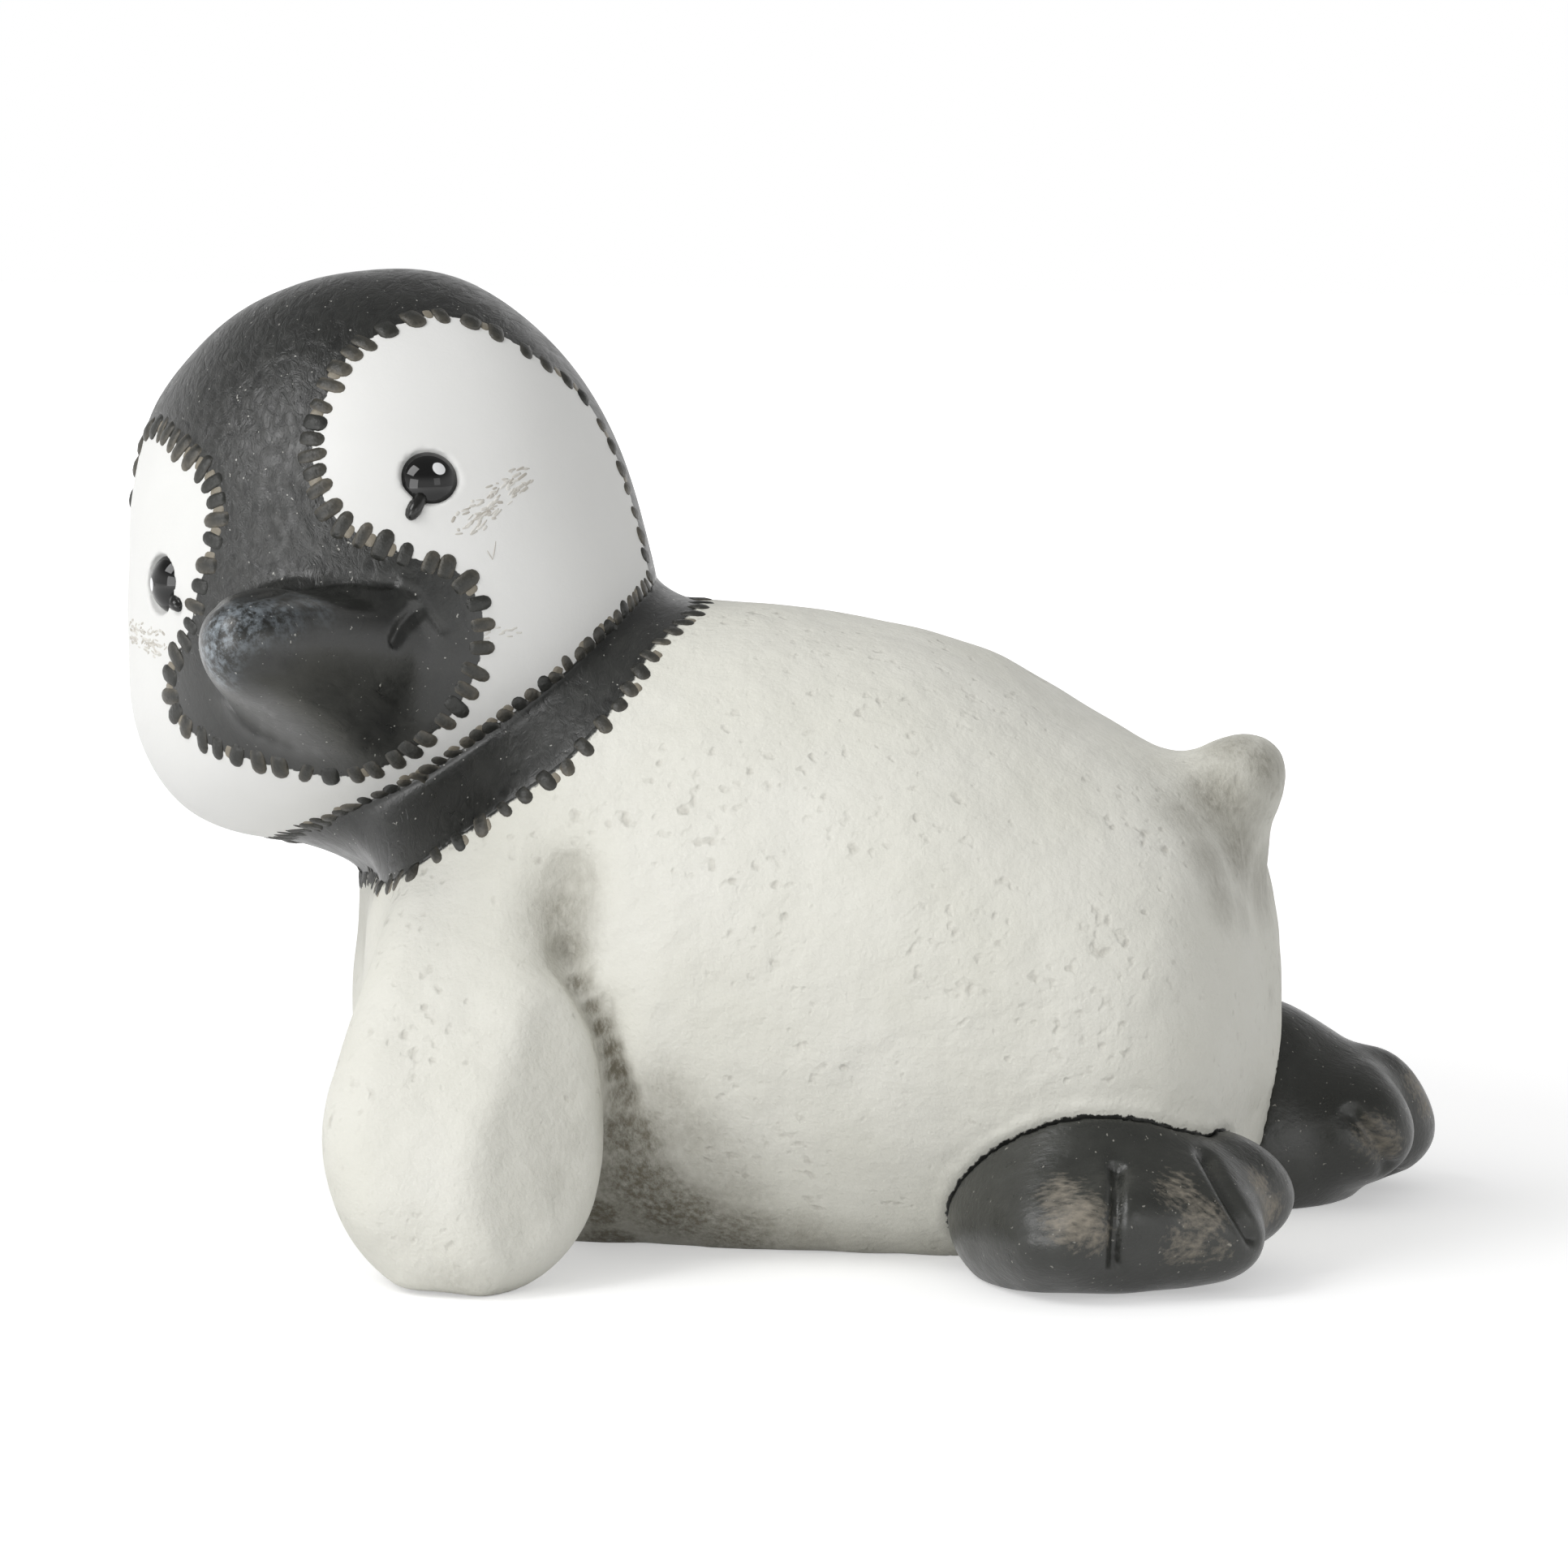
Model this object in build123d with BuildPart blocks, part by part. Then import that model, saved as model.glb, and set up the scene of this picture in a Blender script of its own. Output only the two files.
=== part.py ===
"""Penguin figurine: a hollow cast figure lying on its belly, built from bonded castings.

Frame: millimetres, Z up, the belly's flat face on Z = 0, the head toward -X, the tail toward +X.
The penguin's left side is -Y.
"""
import math
import os

from build123d import *

os.makedirs("parts", exist_ok=True)

# Driving sizes
body_half_length = 90.0
body_height = 118.0
body_half_width = 62.0
wall = 6.0
floor_wall = 8.0
glue_gap = 0.3
overrun = 4.0

# Neck joint: the plane both castings meet on
neck_along_share = -0.6111
neck_drop = 24.8
neck_x = neck_along_share * body_half_length
neck_z = body_height - neck_drop
neck_radius = 38.5
neck_lean = 48.0
neck_tilt = 9.0
spigot_radius = 27.0
spigot_wall = 5.0
spigot_height = 9.0
neck_land = 8.0

# Head
head_ahead = 23.8
head_rise = 33.3
head_x = neck_x - head_ahead
head_y = 0.0
head_z = neck_z + head_rise
head_half_height = 56.0
head_radius = 48.5
head_turn = 79.0
head_lift = 15.0
head_roll = 22.6

# Beak, in the head's own frame
beak_root_out = 30.0
beak_drop = 29.0
beak_length = 53.0
beak_half_width = 22.0
beak_half_height = 19.0
beak_dip = 3.0
beak_tenon_radius = 7.0
beak_tenon_length = 20.0

# Eyes, in the head's own frame
eye_radius = 5.25
eye_skirt = 3.0
eye_cap = 2.8
eye_seat_out = 45.2
eye_angle = 36.0
eye_level = -3.0
eye_stem_radius = 1.6
eye_stem_length = 4.0

# Flippers
flipper_along_share = -0.5056
flipper_out = 24.0
flipper_in = 19.8
flipper_x = flipper_along_share * body_half_length
flipper_foot_y = body_half_width + flipper_out
flipper_root_y = body_half_width - flipper_in
flipper_drop = 20.2
flipper_height = neck_z - flipper_drop
flipper_half_width = 26.0
flipper_half_thick = 15.0
flipper_tenon_radius = 7.0
flipper_tenon_drop = 23.0
flipper_tenon_z = flipper_height - flipper_tenon_drop
flipper_tenon_y = body_half_width
flipper_tenon_length = 24.0
flipper_corner_share = 0.85

# Feet
near_foot_back = 23.0
near_foot_in = 21.0
near_foot_x = body_half_length - near_foot_back
near_foot_y = near_foot_in - body_half_width
near_foot_turn = -28.0
far_foot_back = 7.5
far_foot_in = 16.0
far_foot_x = body_half_length - far_foot_back
far_foot_y = body_half_width - far_foot_in
far_foot_turn = 20.0
foot_radius = 27.0
foot_height = 39.0
toe_length = 39.0
toe_half_width = 13.0
toe_half_height = 12.0
toe_spread = 42.0
toe_lift = 16.0
toe_dip = 12.0
foot_tenon_radius = 6.0
foot_tenon_z = 17.0
foot_tenon_length = 30.0
foot_tenon_back = 10.0
foot_aim_share = 0.5
foot_aim_x = foot_aim_share * body_half_length

# Tail
tail_back = 14.0
tail_drop = 40.0
tail_x = body_half_length - tail_back
tail_z = body_height - tail_drop
tail_rise = 40.0
tail_length = 24.0
tail_half_width = 15.0
tail_half_height = 13.0
tail_tenon_radius = 4.5
tail_tenon_length = 30.0
tail_tenon_start = 16.0

# Pouring hole and its plug
plug_along_share = 0.378
plug_x = plug_along_share * body_half_length
plug_radius = 10.0
plug_head_radius = 14.0
plug_head_thick = 2.5
plug_recess = 0.5

# Body stations from the chest back: top point along and up, low point along and up, half width (shares)
body_station_shares = [
    (-0.228, 1.008, -0.940, 0.390, 0.80),
    (-0.156, 1.007, -0.885, 0.155, 0.91),
    (-0.067, 1.003, -0.645, -0.060, 0.98),
    (0.044, 0.997, -0.267, -0.076, 1.00),
    (0.178, 0.980, 0.089, -0.080, 1.00),
    (0.400, 0.939, 0.400, -0.068, 1.00),
    (0.667, 0.843, 0.667, -0.055, 0.96),
    (0.889, 0.746, 0.889, -0.025, 0.86),
    (0.989, 0.644, 0.989, 0.085, 0.66),
    (1.028, 0.534, 1.028, 0.220, 0.40),
]
body_tip_shares = (1.042, 0.385)

# Head stations from the throat up: place up, reach fore and aft, half width, sway to the left (shares)
head_station_shares = [
    (-0.96, 0.45, 0.50, -0.08),
    (-0.89, 0.68, 0.74, -0.08),
    (-0.76, 0.86, 0.92, -0.07),
    (-0.55, 0.97, 1.03, -0.055),
    (-0.20, 1.02, 1.04, -0.02),
    (0.15, 0.99, 1.01, 0.0),
    (0.48, 0.87, 0.89, 0.02),
    (0.74, 0.68, 0.69, 0.04),
    (0.91, 0.43, 0.43, 0.05),
]
crown_sway_share = 0.05

# Beak stations: place out, drop, half width, half height (shares)
beak_station_shares = [
    (0.00, 0.0, 1.00, 1.00),
    (0.30, 0.1, 0.86, 0.86),
    (0.62, 0.4, 0.62, 0.66),
    (0.86, 0.8, 0.42, 0.48),
    (0.96, 0.95, 0.25, 0.29),
]

# Flipper stations from the shoulder down: place down, half width, half thickness (shares)
flipper_station_shares = [
    (0.00, 0.55, 0.60),
    (0.28, 0.80, 0.88),
    (0.55, 0.97, 1.00),
    (0.74, 1.00, 1.00),
    (0.88, 0.82, 0.84),
    (0.96, 0.54, 0.56),
    (1.01, 0.30, 0.30),
]

# Instep and toe stations: place along, size (shares), then each toe's swing, reach and dip, outer toe first
instep_station_shares = [(-0.12, 0.66), (0.04, 0.87), (0.22, 0.99), (0.42, 0.96), (0.63, 0.81), (0.82, 0.58), (0.94, 0.34)]
toe_station_shares = [(0.00, 0.75), (0.35, 0.97), (0.60, 1.00), (0.80, 0.80), (0.94, 0.46)]
toe_swing_shares = [(-1.0, 0.95, 1.0), (0.0, 1.0, 0.7), (1.0, 0.95, 0.3)]

# Tail stations: place out, half width, half height (shares)
tail_station_shares = [
    (-0.50, 1.15, 1.25),
    (0.00, 1.00, 1.00),
    (0.45, 0.84, 0.80),
    (0.78, 0.62, 0.58),
    (0.93, 0.36, 0.34),
]


def oval(half_width, half_height):
    """Closed oval in the current sketch: four quarter curves, always drawn the same way round."""
    corners = [(half_width, 0), (0, half_height), (-half_width, 0), (0, -half_height)]
    with BuildLine() as outline:
        for step in range(4):
            start = Vector(*corners[step])
            end = Vector(*corners[(step + 1) % 4])
            middle = (start + end) * math.sqrt(0.5)
            Spline(start, middle, end, tangents=(end, -start))
    make_face(outline.edges())


def leaning_plane(x, z, lean):
    """Plane across the body at (x, z), looking to the tail, its top tipped back by the lean."""
    a = math.radians(lean)
    return Plane(origin=(x, 0, z), x_dir=(0, 1, 0), z_dir=(math.cos(a), 0, -math.sin(a)))


# The neck joint also tilts to the penguin's left, where the cheek comes down over the collar
neck_square = leaning_plane(neck_x, neck_z, neck_lean)
neck_section = Plane(Location(neck_square) * Rotation(0, neck_tilt, 0))
neck_plane = Plane(origin=neck_section.origin, x_dir=neck_section.x_dir, z_dir=-neck_section.z_dir)
head_plane = Plane(
    Location((head_x, head_y, head_z))
    * Rotation(0, 0, 180 + head_turn)
    * Rotation(0, -head_lift, 0)
    * Rotation(head_roll, 0, 0)
)


def body_sections(inset):
    """Ovals from the neck plane back to the rump, each smaller by the inset."""
    with BuildSketch(neck_section, mode=Mode.PRIVATE) as station:
        oval(neck_radius - inset, neck_radius - inset)
    sections = [station.sketch.face()]
    for top_along, top_up, low_along, low_up, wide in body_station_shares:
        draw_in = inset * max(top_along, 0)
        top = Vector(top_along * body_half_length - draw_in, 0, top_up * body_height)
        low = Vector(low_along * body_half_length - draw_in, 0, low_up * body_height)
        lean = math.degrees(math.atan2(top.X - low.X, top.Z - low.Z))
        middle = (top + low) / 2
        with BuildSketch(leaning_plane(middle.X, middle.Z, lean), mode=Mode.PRIVATE) as station:
            oval(wide * body_half_width - inset, (top - low).length / 2 - inset)
        sections.append(station.sketch.face())
    return sections


# Outside of the body, used to shape every piece that sits on it
with BuildPart() as body_form:
    rump_along, rump_up = body_tip_shares
    rump_tip = Vertex(rump_along * body_half_length, 0, rump_up * body_height)
    loft(sections=body_sections(0) + [rump_tip])
    split(bisect_by=Plane.XY, keep=Keep.TOP)

with BuildPart() as body_hollow:
    loft(sections=body_sections(wall))
    split(bisect_by=Plane.XY.offset(floor_wall), keep=Keep.TOP)
    split(bisect_by=neck_section.offset(neck_land), keep=Keep.TOP)

# Flippers: a paddle from the shoulder to the floor, cut to sit on the body, with a tenon
flipper_run = flipper_foot_y - flipper_root_y
flipper_slope = math.atan2(flipper_run, flipper_height)
with BuildPart() as flipper_form:
    for down, wide, thick in flipper_station_shares:
        station_plane = Plane(
            origin=(flipper_x, -flipper_root_y - down * flipper_run, flipper_height * (1 - down)),
            x_dir=(1, 0, 0),
            z_dir=(0, -math.sin(flipper_slope), -math.cos(flipper_slope)),
        )
        half_thick = thick * flipper_half_thick
        with BuildSketch(station_plane):
            RectangleRounded(2 * wide * flipper_half_width, 2 * half_thick, flipper_corner_share * half_thick)
    loft()
    split(bisect_by=Plane.XY, keep=Keep.TOP)


def flipper_tenon_plane(side):
    """Upright plane at a shoulder, looking to the body's middle line: side 1 is the left."""
    return Plane(origin=(flipper_x, -side * flipper_tenon_y, flipper_tenon_z), z_dir=(0, side, 0))


with BuildPart() as left_paddle:
    add(flipper_form.part)
    add(body_form.part, mode=Mode.SUBTRACT)

with BuildPart() as left_flipper:
    add(left_paddle.part.solids().sort_by(SortBy.VOLUME)[-1])
    with BuildSketch(flipper_tenon_plane(1)):
        Circle(flipper_tenon_radius)
    extrude(amount=flipper_tenon_length)
left_flipper.part.label = "left_flipper"
export_step(left_flipper.part, "parts/left_flipper.step")

with BuildPart() as right_paddle:
    mirror(flipper_form.part, about=Plane.XZ)
    add(body_form.part, mode=Mode.SUBTRACT)

with BuildPart() as right_flipper:
    add(right_paddle.part.solids().sort_by(SortBy.VOLUME)[-1])
    with BuildSketch(flipper_tenon_plane(-1)):
        Circle(flipper_tenon_radius)
    extrude(amount=flipper_tenon_length)
right_flipper.part.label = "right_flipper"
export_step(right_flipper.part, "parts/right_flipper.step")


# Feet: a domed instep with three fat toes, the sole cut flat, a tenon into the body
def foot_plane(x, y, turn):
    """Floor plane of a foot, its x axis along the middle toe."""
    a = math.radians(turn)
    return Plane(origin=(x, y, 0), x_dir=(math.cos(a), math.sin(a), 0), z_dir=(0, 0, 1))


def tenon_plane(x, y):
    """Upright plane in a foot, looking to the body's middle line."""
    reach = math.hypot(foot_aim_x - x, y)
    aim = ((foot_aim_x - x) / reach, -y / reach, 0)
    start = (x - aim[0] * foot_tenon_back, y - aim[1] * foot_tenon_back, foot_tenon_z)
    return Plane(origin=start, z_dir=aim)


def round_loft(plane, length, half_width, half_height, shares):
    """Add a blunt rounded form to the current part, lofted along the plane's z axis to a tip."""
    sections = []
    for out, size in shares:
        with BuildSketch(plane.offset(out * length), mode=Mode.PRIVATE) as station:
            oval(size * half_width, size * half_height)
        sections.append(station.sketch.face())
    sections.append(Vertex(plane.from_local_coords((0, 0, length))))
    loft(sections=sections)


def build_foot(plane, peg_plane, side):
    """Add a whole foot to the current part: instep, toes, flat sole, seat on the body, tenon."""
    round_loft(plane, foot_height, foot_radius, foot_radius, instep_station_shares)
    for swing, reach, dip in toe_swing_shares:
        toe_frame = Location(plane) * Rotation(0, 0, side * swing * toe_spread) * Pos(0, 0, toe_lift)
        toe_plane = Plane(toe_frame * Rotation(0, 90 + dip * toe_dip, 0))
        round_loft(toe_plane, reach * toe_length, toe_half_height, toe_half_width, toe_station_shares)
    split(bisect_by=Plane.XY, keep=Keep.TOP)
    add(body_form.part, mode=Mode.SUBTRACT)
    with BuildSketch(peg_plane) as peg:
        Circle(foot_tenon_radius)
    extrude(peg.sketch, amount=foot_tenon_length)


near_peg_plane = tenon_plane(near_foot_x, near_foot_y)
with BuildPart() as left_foot:
    build_foot(foot_plane(near_foot_x, near_foot_y, near_foot_turn), near_peg_plane, 1)
left_foot.part.label = "left_foot"
export_step(left_foot.part, "parts/left_foot.step")

far_peg_plane = tenon_plane(far_foot_x, far_foot_y)
with BuildPart() as right_foot:
    build_foot(foot_plane(far_foot_x, far_foot_y, far_foot_turn), far_peg_plane, -1)
right_foot.part.label = "right_foot"
export_step(right_foot.part, "parts/right_foot.step")

# Tail: a short upturned stub on the rump
tail_slope = math.radians(tail_rise)
tail_way = (math.cos(tail_slope), 0, math.sin(tail_slope))
tail_plane = Plane(origin=(tail_x, 0, tail_z), x_dir=(0, 1, 0), z_dir=tail_way)
with BuildPart() as tail_stub:
    tail_sections = []
    for out, wide, high in tail_station_shares:
        with BuildSketch(tail_plane.offset(out * tail_length), mode=Mode.PRIVATE) as station:
            oval(wide * tail_half_width, high * tail_half_height)
        tail_sections.append(station.sketch.face())
    tail_sections.append(Vertex(tail_plane.from_local_coords((0, 0, tail_length))))
    loft(sections=tail_sections)
    add(body_form.part, mode=Mode.SUBTRACT)
    with BuildSketch(tail_plane.offset(tail_tenon_start)):
        Circle(tail_tenon_radius)
    extrude(amount=-tail_tenon_length)
tail_stub.part.label = "tail_stub"
export_step(tail_stub.part, "parts/tail_stub.step")

# Body shell: hollow, with a spigot at the neck, a hole for each tenon and a stepped pouring hole
with BuildPart() as torso_shell:
    add(body_form.part)
    add(body_hollow.part, mode=Mode.SUBTRACT)
    with BuildSketch(neck_plane.offset(-overrun)):
        Circle(spigot_radius)
    extrude(amount=spigot_height + overrun)
    with BuildSketch(neck_plane.offset(-neck_land - overrun)):
        Circle(spigot_radius - spigot_wall)
    extrude(amount=neck_land + spigot_height + 2 * overrun, mode=Mode.SUBTRACT)
    for side in (1, -1):
        with BuildSketch(flipper_tenon_plane(side)):
            Circle(flipper_tenon_radius + glue_gap)
        extrude(amount=flipper_tenon_length + glue_gap, mode=Mode.SUBTRACT)
    for peg_plane in (near_peg_plane, far_peg_plane):
        with BuildSketch(peg_plane):
            Circle(foot_tenon_radius + glue_gap)
        extrude(amount=foot_tenon_length + glue_gap, mode=Mode.SUBTRACT)
    with BuildSketch(tail_plane.offset(tail_tenon_start)):
        Circle(tail_tenon_radius + glue_gap)
    extrude(amount=-tail_tenon_length - glue_gap, mode=Mode.SUBTRACT)
    with BuildSketch(Plane(origin=(plug_x, 0, 0))):
        Circle(plug_radius)
    extrude(amount=floor_wall + overrun, mode=Mode.SUBTRACT)
    with BuildSketch(Plane(origin=(plug_x, 0, 0))):
        Circle(plug_head_radius)
    extrude(amount=plug_head_thick, mode=Mode.SUBTRACT)
torso_shell.part.label = "torso_shell"
export_step(torso_shell.part, "parts/torso_shell.step")

# Plug: a flush head and a short stem
with BuildPart() as base_plug:
    with BuildSketch(Plane(origin=(plug_x, 0, plug_recess))):
        Circle(plug_head_radius - glue_gap)
    extrude(amount=plug_head_thick - plug_recess)
    with BuildSketch(Plane(origin=(plug_x, 0, plug_head_thick))):
        Circle(plug_radius - glue_gap)
    extrude(amount=floor_wall - plug_head_thick)
base_plug.part.label = "base_plug"
export_step(base_plug.part, "parts/base_plug.step")


# Head: an egg lofted up its own axis and cut by the neck plane
def head_sections(inset):
    """Ovals up the head's axis, smaller by the inset."""
    sections = []
    for up, fore, wide, sway in head_station_shares:
        place = (0, sway * head_radius, up * (head_half_height - inset))
        station_plane = Plane(
            origin=head_plane.from_local_coords(place),
            x_dir=head_plane.x_dir,
            z_dir=head_plane.z_dir,
        )
        with BuildSketch(station_plane, mode=Mode.PRIVATE) as station:
            oval(fore * head_radius - inset, wide * head_radius - inset)
        sections.append(station.sketch.face())
    return sections


with BuildPart() as head_form:
    crown_place = (0, crown_sway_share * head_radius, head_half_height)
    crown = Vertex(head_plane.from_local_coords(crown_place))
    loft(sections=head_sections(0) + [crown])
    split(bisect_by=neck_plane, keep=Keep.TOP)

with BuildPart() as head_hollow:
    loft(sections=head_sections(wall))
    split(bisect_by=neck_plane.offset(spigot_height + neck_land), keep=Keep.TOP)

# Beak: a rounded cone set on the face, with a tenon into the head
with BuildPart() as beak:
    beak_sections = []
    for out, drop, wide, high in beak_station_shares:
        place = (beak_root_out + out * beak_length, 0, -beak_drop - drop * beak_dip)
        station_plane = Plane(
            origin=head_plane.from_local_coords(place),
            x_dir=head_plane.y_dir,
            z_dir=head_plane.x_dir,
        )
        with BuildSketch(station_plane, mode=Mode.PRIVATE) as station:
            oval(wide * beak_half_width, high * beak_half_height)
        beak_sections.append(station.sketch.face())
    tip_place = (beak_root_out + beak_length, 0, -beak_drop - beak_dip)
    beak_sections.append(Vertex(head_plane.from_local_coords(tip_place)))
    loft(sections=beak_sections)
    add(head_form.part, mode=Mode.SUBTRACT)
    beak_peg_plane = Plane(
        origin=head_plane.from_local_coords((beak_root_out + beak_length / 2, 0, -beak_drop)),
        x_dir=head_plane.y_dir,
        z_dir=-head_plane.x_dir,
    )
    with BuildSketch(beak_peg_plane):
        Circle(beak_tenon_radius)
    extrude(amount=beak_tenon_length)
beak.part.label = "beak"
export_step(beak.part, "parts/beak.step")


# Eyes: glass cabochons in round sockets, each with a stem
def eye_plane(side):
    """Plane of an eye's flat back, its z axis straight out of the face."""
    a = math.radians(eye_angle)
    way = Vector(math.cos(a), side * math.sin(a), 0)
    place = way * eye_seat_out + Vector(0, 0, eye_level)
    return Plane(
        origin=head_plane.from_local_coords(place),
        x_dir=head_plane.z_dir,
        z_dir=head_plane.from_local_coords(place + way) - head_plane.from_local_coords(place),
    )


def build_eye(plane):
    """Add a cabochon to the current part: stem, straight skirt and domed cap."""
    cap_radius = (eye_radius**2 + eye_cap**2) / (2 * eye_cap)
    half_plane = Plane(origin=plane.origin, x_dir=plane.x_dir, z_dir=-plane.y_dir)
    with BuildSketch(half_plane) as profile:
        with BuildLine():
            Polyline(
                (0, eye_skirt + eye_cap),
                (0, -eye_stem_length),
                (eye_stem_radius, -eye_stem_length),
                (eye_stem_radius, 0),
                (eye_radius, 0),
                (eye_radius, eye_skirt),
            )
            RadiusArc((eye_radius, eye_skirt), (0, eye_skirt + eye_cap), -cap_radius)
        make_face()
    revolve(profile.sketch, axis=Axis(plane.origin, plane.z_dir))


with BuildPart() as left_eye:
    build_eye(eye_plane(1))
left_eye.part.label = "left_eye"
export_step(left_eye.part, "parts/left_eye.step")

with BuildPart() as right_eye:
    build_eye(eye_plane(-1))
right_eye.part.label = "right_eye"
export_step(right_eye.part, "parts/right_eye.step")

# Head shell: hollow, with the neck socket, the beak's hole and the two eye sockets
with BuildPart() as head_shell:
    add(head_form.part)
    add(head_hollow.part, mode=Mode.SUBTRACT)
    with BuildSketch(neck_plane.offset(-overrun)):
        Circle(spigot_radius + glue_gap)
    extrude(amount=spigot_height + neck_land + 2 * overrun, mode=Mode.SUBTRACT)
    with BuildSketch(beak_peg_plane):
        Circle(beak_tenon_radius + glue_gap)
    extrude(amount=beak_tenon_length + glue_gap, mode=Mode.SUBTRACT)
    for side in (1, -1):
        with BuildSketch(eye_plane(side)):
            Circle(eye_radius + glue_gap)
        extrude(amount=eye_skirt + eye_cap + overrun, mode=Mode.SUBTRACT)
        with BuildSketch(eye_plane(side)):
            Circle(eye_stem_radius + glue_gap)
        extrude(amount=-eye_stem_length - glue_gap, mode=Mode.SUBTRACT)
head_shell.part.label = "head_shell"
export_step(head_shell.part, "parts/head_shell.step")
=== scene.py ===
# %% [markdown]
# # A painted penguin ornament
# The real thing is a hollow figure cast in stone-filled resin, bonded from a few castings and painted by
# hand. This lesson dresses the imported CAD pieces: the castings are fused and softened as a mould would
# leave them, the paint is laid on from small tables of places, and the feather tufts are modelled one by
# one.

# %% Load the frame
import math
import random

import bmesh
import bpy
import numpy as np
from mathutils import Matrix, Vector, noise
from mathutils.bvhtree import BVHTree


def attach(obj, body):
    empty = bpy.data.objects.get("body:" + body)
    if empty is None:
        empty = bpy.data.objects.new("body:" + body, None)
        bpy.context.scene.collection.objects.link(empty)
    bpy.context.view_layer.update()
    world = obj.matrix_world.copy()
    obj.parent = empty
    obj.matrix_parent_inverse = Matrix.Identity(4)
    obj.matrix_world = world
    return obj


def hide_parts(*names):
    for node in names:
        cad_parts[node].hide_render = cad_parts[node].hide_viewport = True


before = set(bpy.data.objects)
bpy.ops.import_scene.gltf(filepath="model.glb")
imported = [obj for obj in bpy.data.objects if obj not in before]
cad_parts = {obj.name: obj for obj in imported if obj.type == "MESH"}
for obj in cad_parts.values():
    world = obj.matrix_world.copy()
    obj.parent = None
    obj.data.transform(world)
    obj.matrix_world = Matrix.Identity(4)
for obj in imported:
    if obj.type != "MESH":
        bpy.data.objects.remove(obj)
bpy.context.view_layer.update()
print("nodes:", sorted(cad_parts))

# %% [markdown]
# Sizes are written in millimetres, as on a drawing, and turned to metres where a mesh needs them. Colours
# are written as the hex values a paint maker would give, and one function makes them linear. One small
# function adds every shader node. What it is given is a setting, or the output of another node to link.

# %% Units, colours and one node helper
mm = 0.001
# Settings that many nodes share
RGBA, SMOOTH = {"data_type": "RGBA"}, {"interpolation_type": "SMOOTHSTEP"}
ADD, MULTIPLY, MULTIPLY_ADD = [{"operation": name} for name in ("ADD", "MULTIPLY", "MULTIPLY_ADD")]
# The Mix node's sockets by number: its share, its two colours and the mixed one, and its two plain numbers
SHARE, FIRST, LAST, MIXED = 0, 6, 7, 2
FIRST_NUMBER, LAST_NUMBER = 2, 3


def paint(hex_code):
    """Linear colour of an sRGB hex value."""
    parts = [int(hex_code[i:i + 2], 16) / 255 for i in (1, 3, 5)]
    linear = [c / 12.92 if c <= 0.04045 else ((c + 0.055) / 1.055) ** 2.4 for c in parts]
    return (*linear, 1.0)


def per_metre(size_mm):
    """Texture scale that gives features of this size."""
    return 1000.0 / size_mm


def feed(node, given):
    """Set a node's properties and inputs, and link each input that is given another node's output."""
    for name, value in given.items():
        if isinstance(value, bpy.types.NodeSocket):
            node.id_data.links.new(value, node.inputs[name])
        elif isinstance(name, str) and hasattr(node, name):
            setattr(node, name, value)
        else:
            node.inputs[name].default_value = value


def add_node(tree, kind, given=None, output=0):
    """Add a shader node with its settings and links, and hand back one of its outputs, if it has any."""
    node = tree.nodes.new("ShaderNode" + kind)
    feed(node, given or {})
    return node.outputs[output] if len(node.outputs) else None


def empty_tree(owner):
    """Cleared node tree of a material or a world."""
    owner.use_nodes = True
    owner.node_tree.nodes.clear()
    return owner.node_tree


def new_material(name):
    """Material with a Principled shader wired to its output."""
    material = bpy.data.materials.new(name)
    tree = empty_tree(material)
    surface = add_node(tree, "BsdfPrincipled")
    add_node(tree, "OutputMaterial", {"Surface": surface})
    return material, tree, surface.node


def put_in_scene(name, data):
    """New object for a mesh, a lamp or a camera."""
    thing = bpy.data.objects.new(name, data)
    bpy.context.scene.collection.objects.link(thing)
    return thing


print("white paint in linear light:", [round(c, 3) for c in paint("#E9E8E1")])

# %% [markdown]
# The camera comes first, since several paint marks are placed by the pixel they cover in the photograph. A
# long lens 1.2 m away and 7 degrees above the table gives the photograph's gentle perspective.

# %% Camera at the photograph's angle
PHOTO_SIDE = 1932
PIXELS_PER_MM = 6.45
SENSOR_WIDTH = 36
VIEW_AZIMUTH = math.radians(12)
VIEW_ELEVATION = math.radians(7)
VIEW_DISTANCE = 1200 * mm
VIEW_HEIGHT = 84 * mm
view_back = Vector((
    math.sin(VIEW_AZIMUTH) * math.cos(VIEW_ELEVATION),
    -math.cos(VIEW_AZIMUTH) * math.cos(VIEW_ELEVATION),
    math.sin(VIEW_ELEVATION),
))
view_right = Vector((math.cos(VIEW_AZIMUTH), math.sin(VIEW_AZIMUTH), 0))
view_up = view_back.cross(view_right)
view_place = Vector((0, 0, VIEW_HEIGHT)) + VIEW_DISTANCE * view_back

camera_data = bpy.data.cameras.new("camera")
camera_data.sensor_width = SENSOR_WIDTH
camera_data.lens = SENSOR_WIDTH * PIXELS_PER_MM * (VIEW_DISTANCE / mm) / PHOTO_SIDE
camera = put_in_scene("camera", camera_data)
camera_turn = Matrix((view_right, view_up, view_back)).transposed()
camera.matrix_world = Matrix.Translation(view_place) @ camera_turn.to_4x4()
bpy.context.scene.camera = camera


def pixel_ray(u, v):
    """Direction from the camera through a pixel of the photograph."""
    reach = PIXELS_PER_MM * VIEW_DISTANCE / mm
    across = (u - PHOTO_SIDE / 2) / reach
    up = (PHOTO_SIDE / 2 - v) / reach
    return (across * view_right + up * view_up - view_back).normalized()


print("lens in mm:", round(camera_data.lens, 2))

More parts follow.
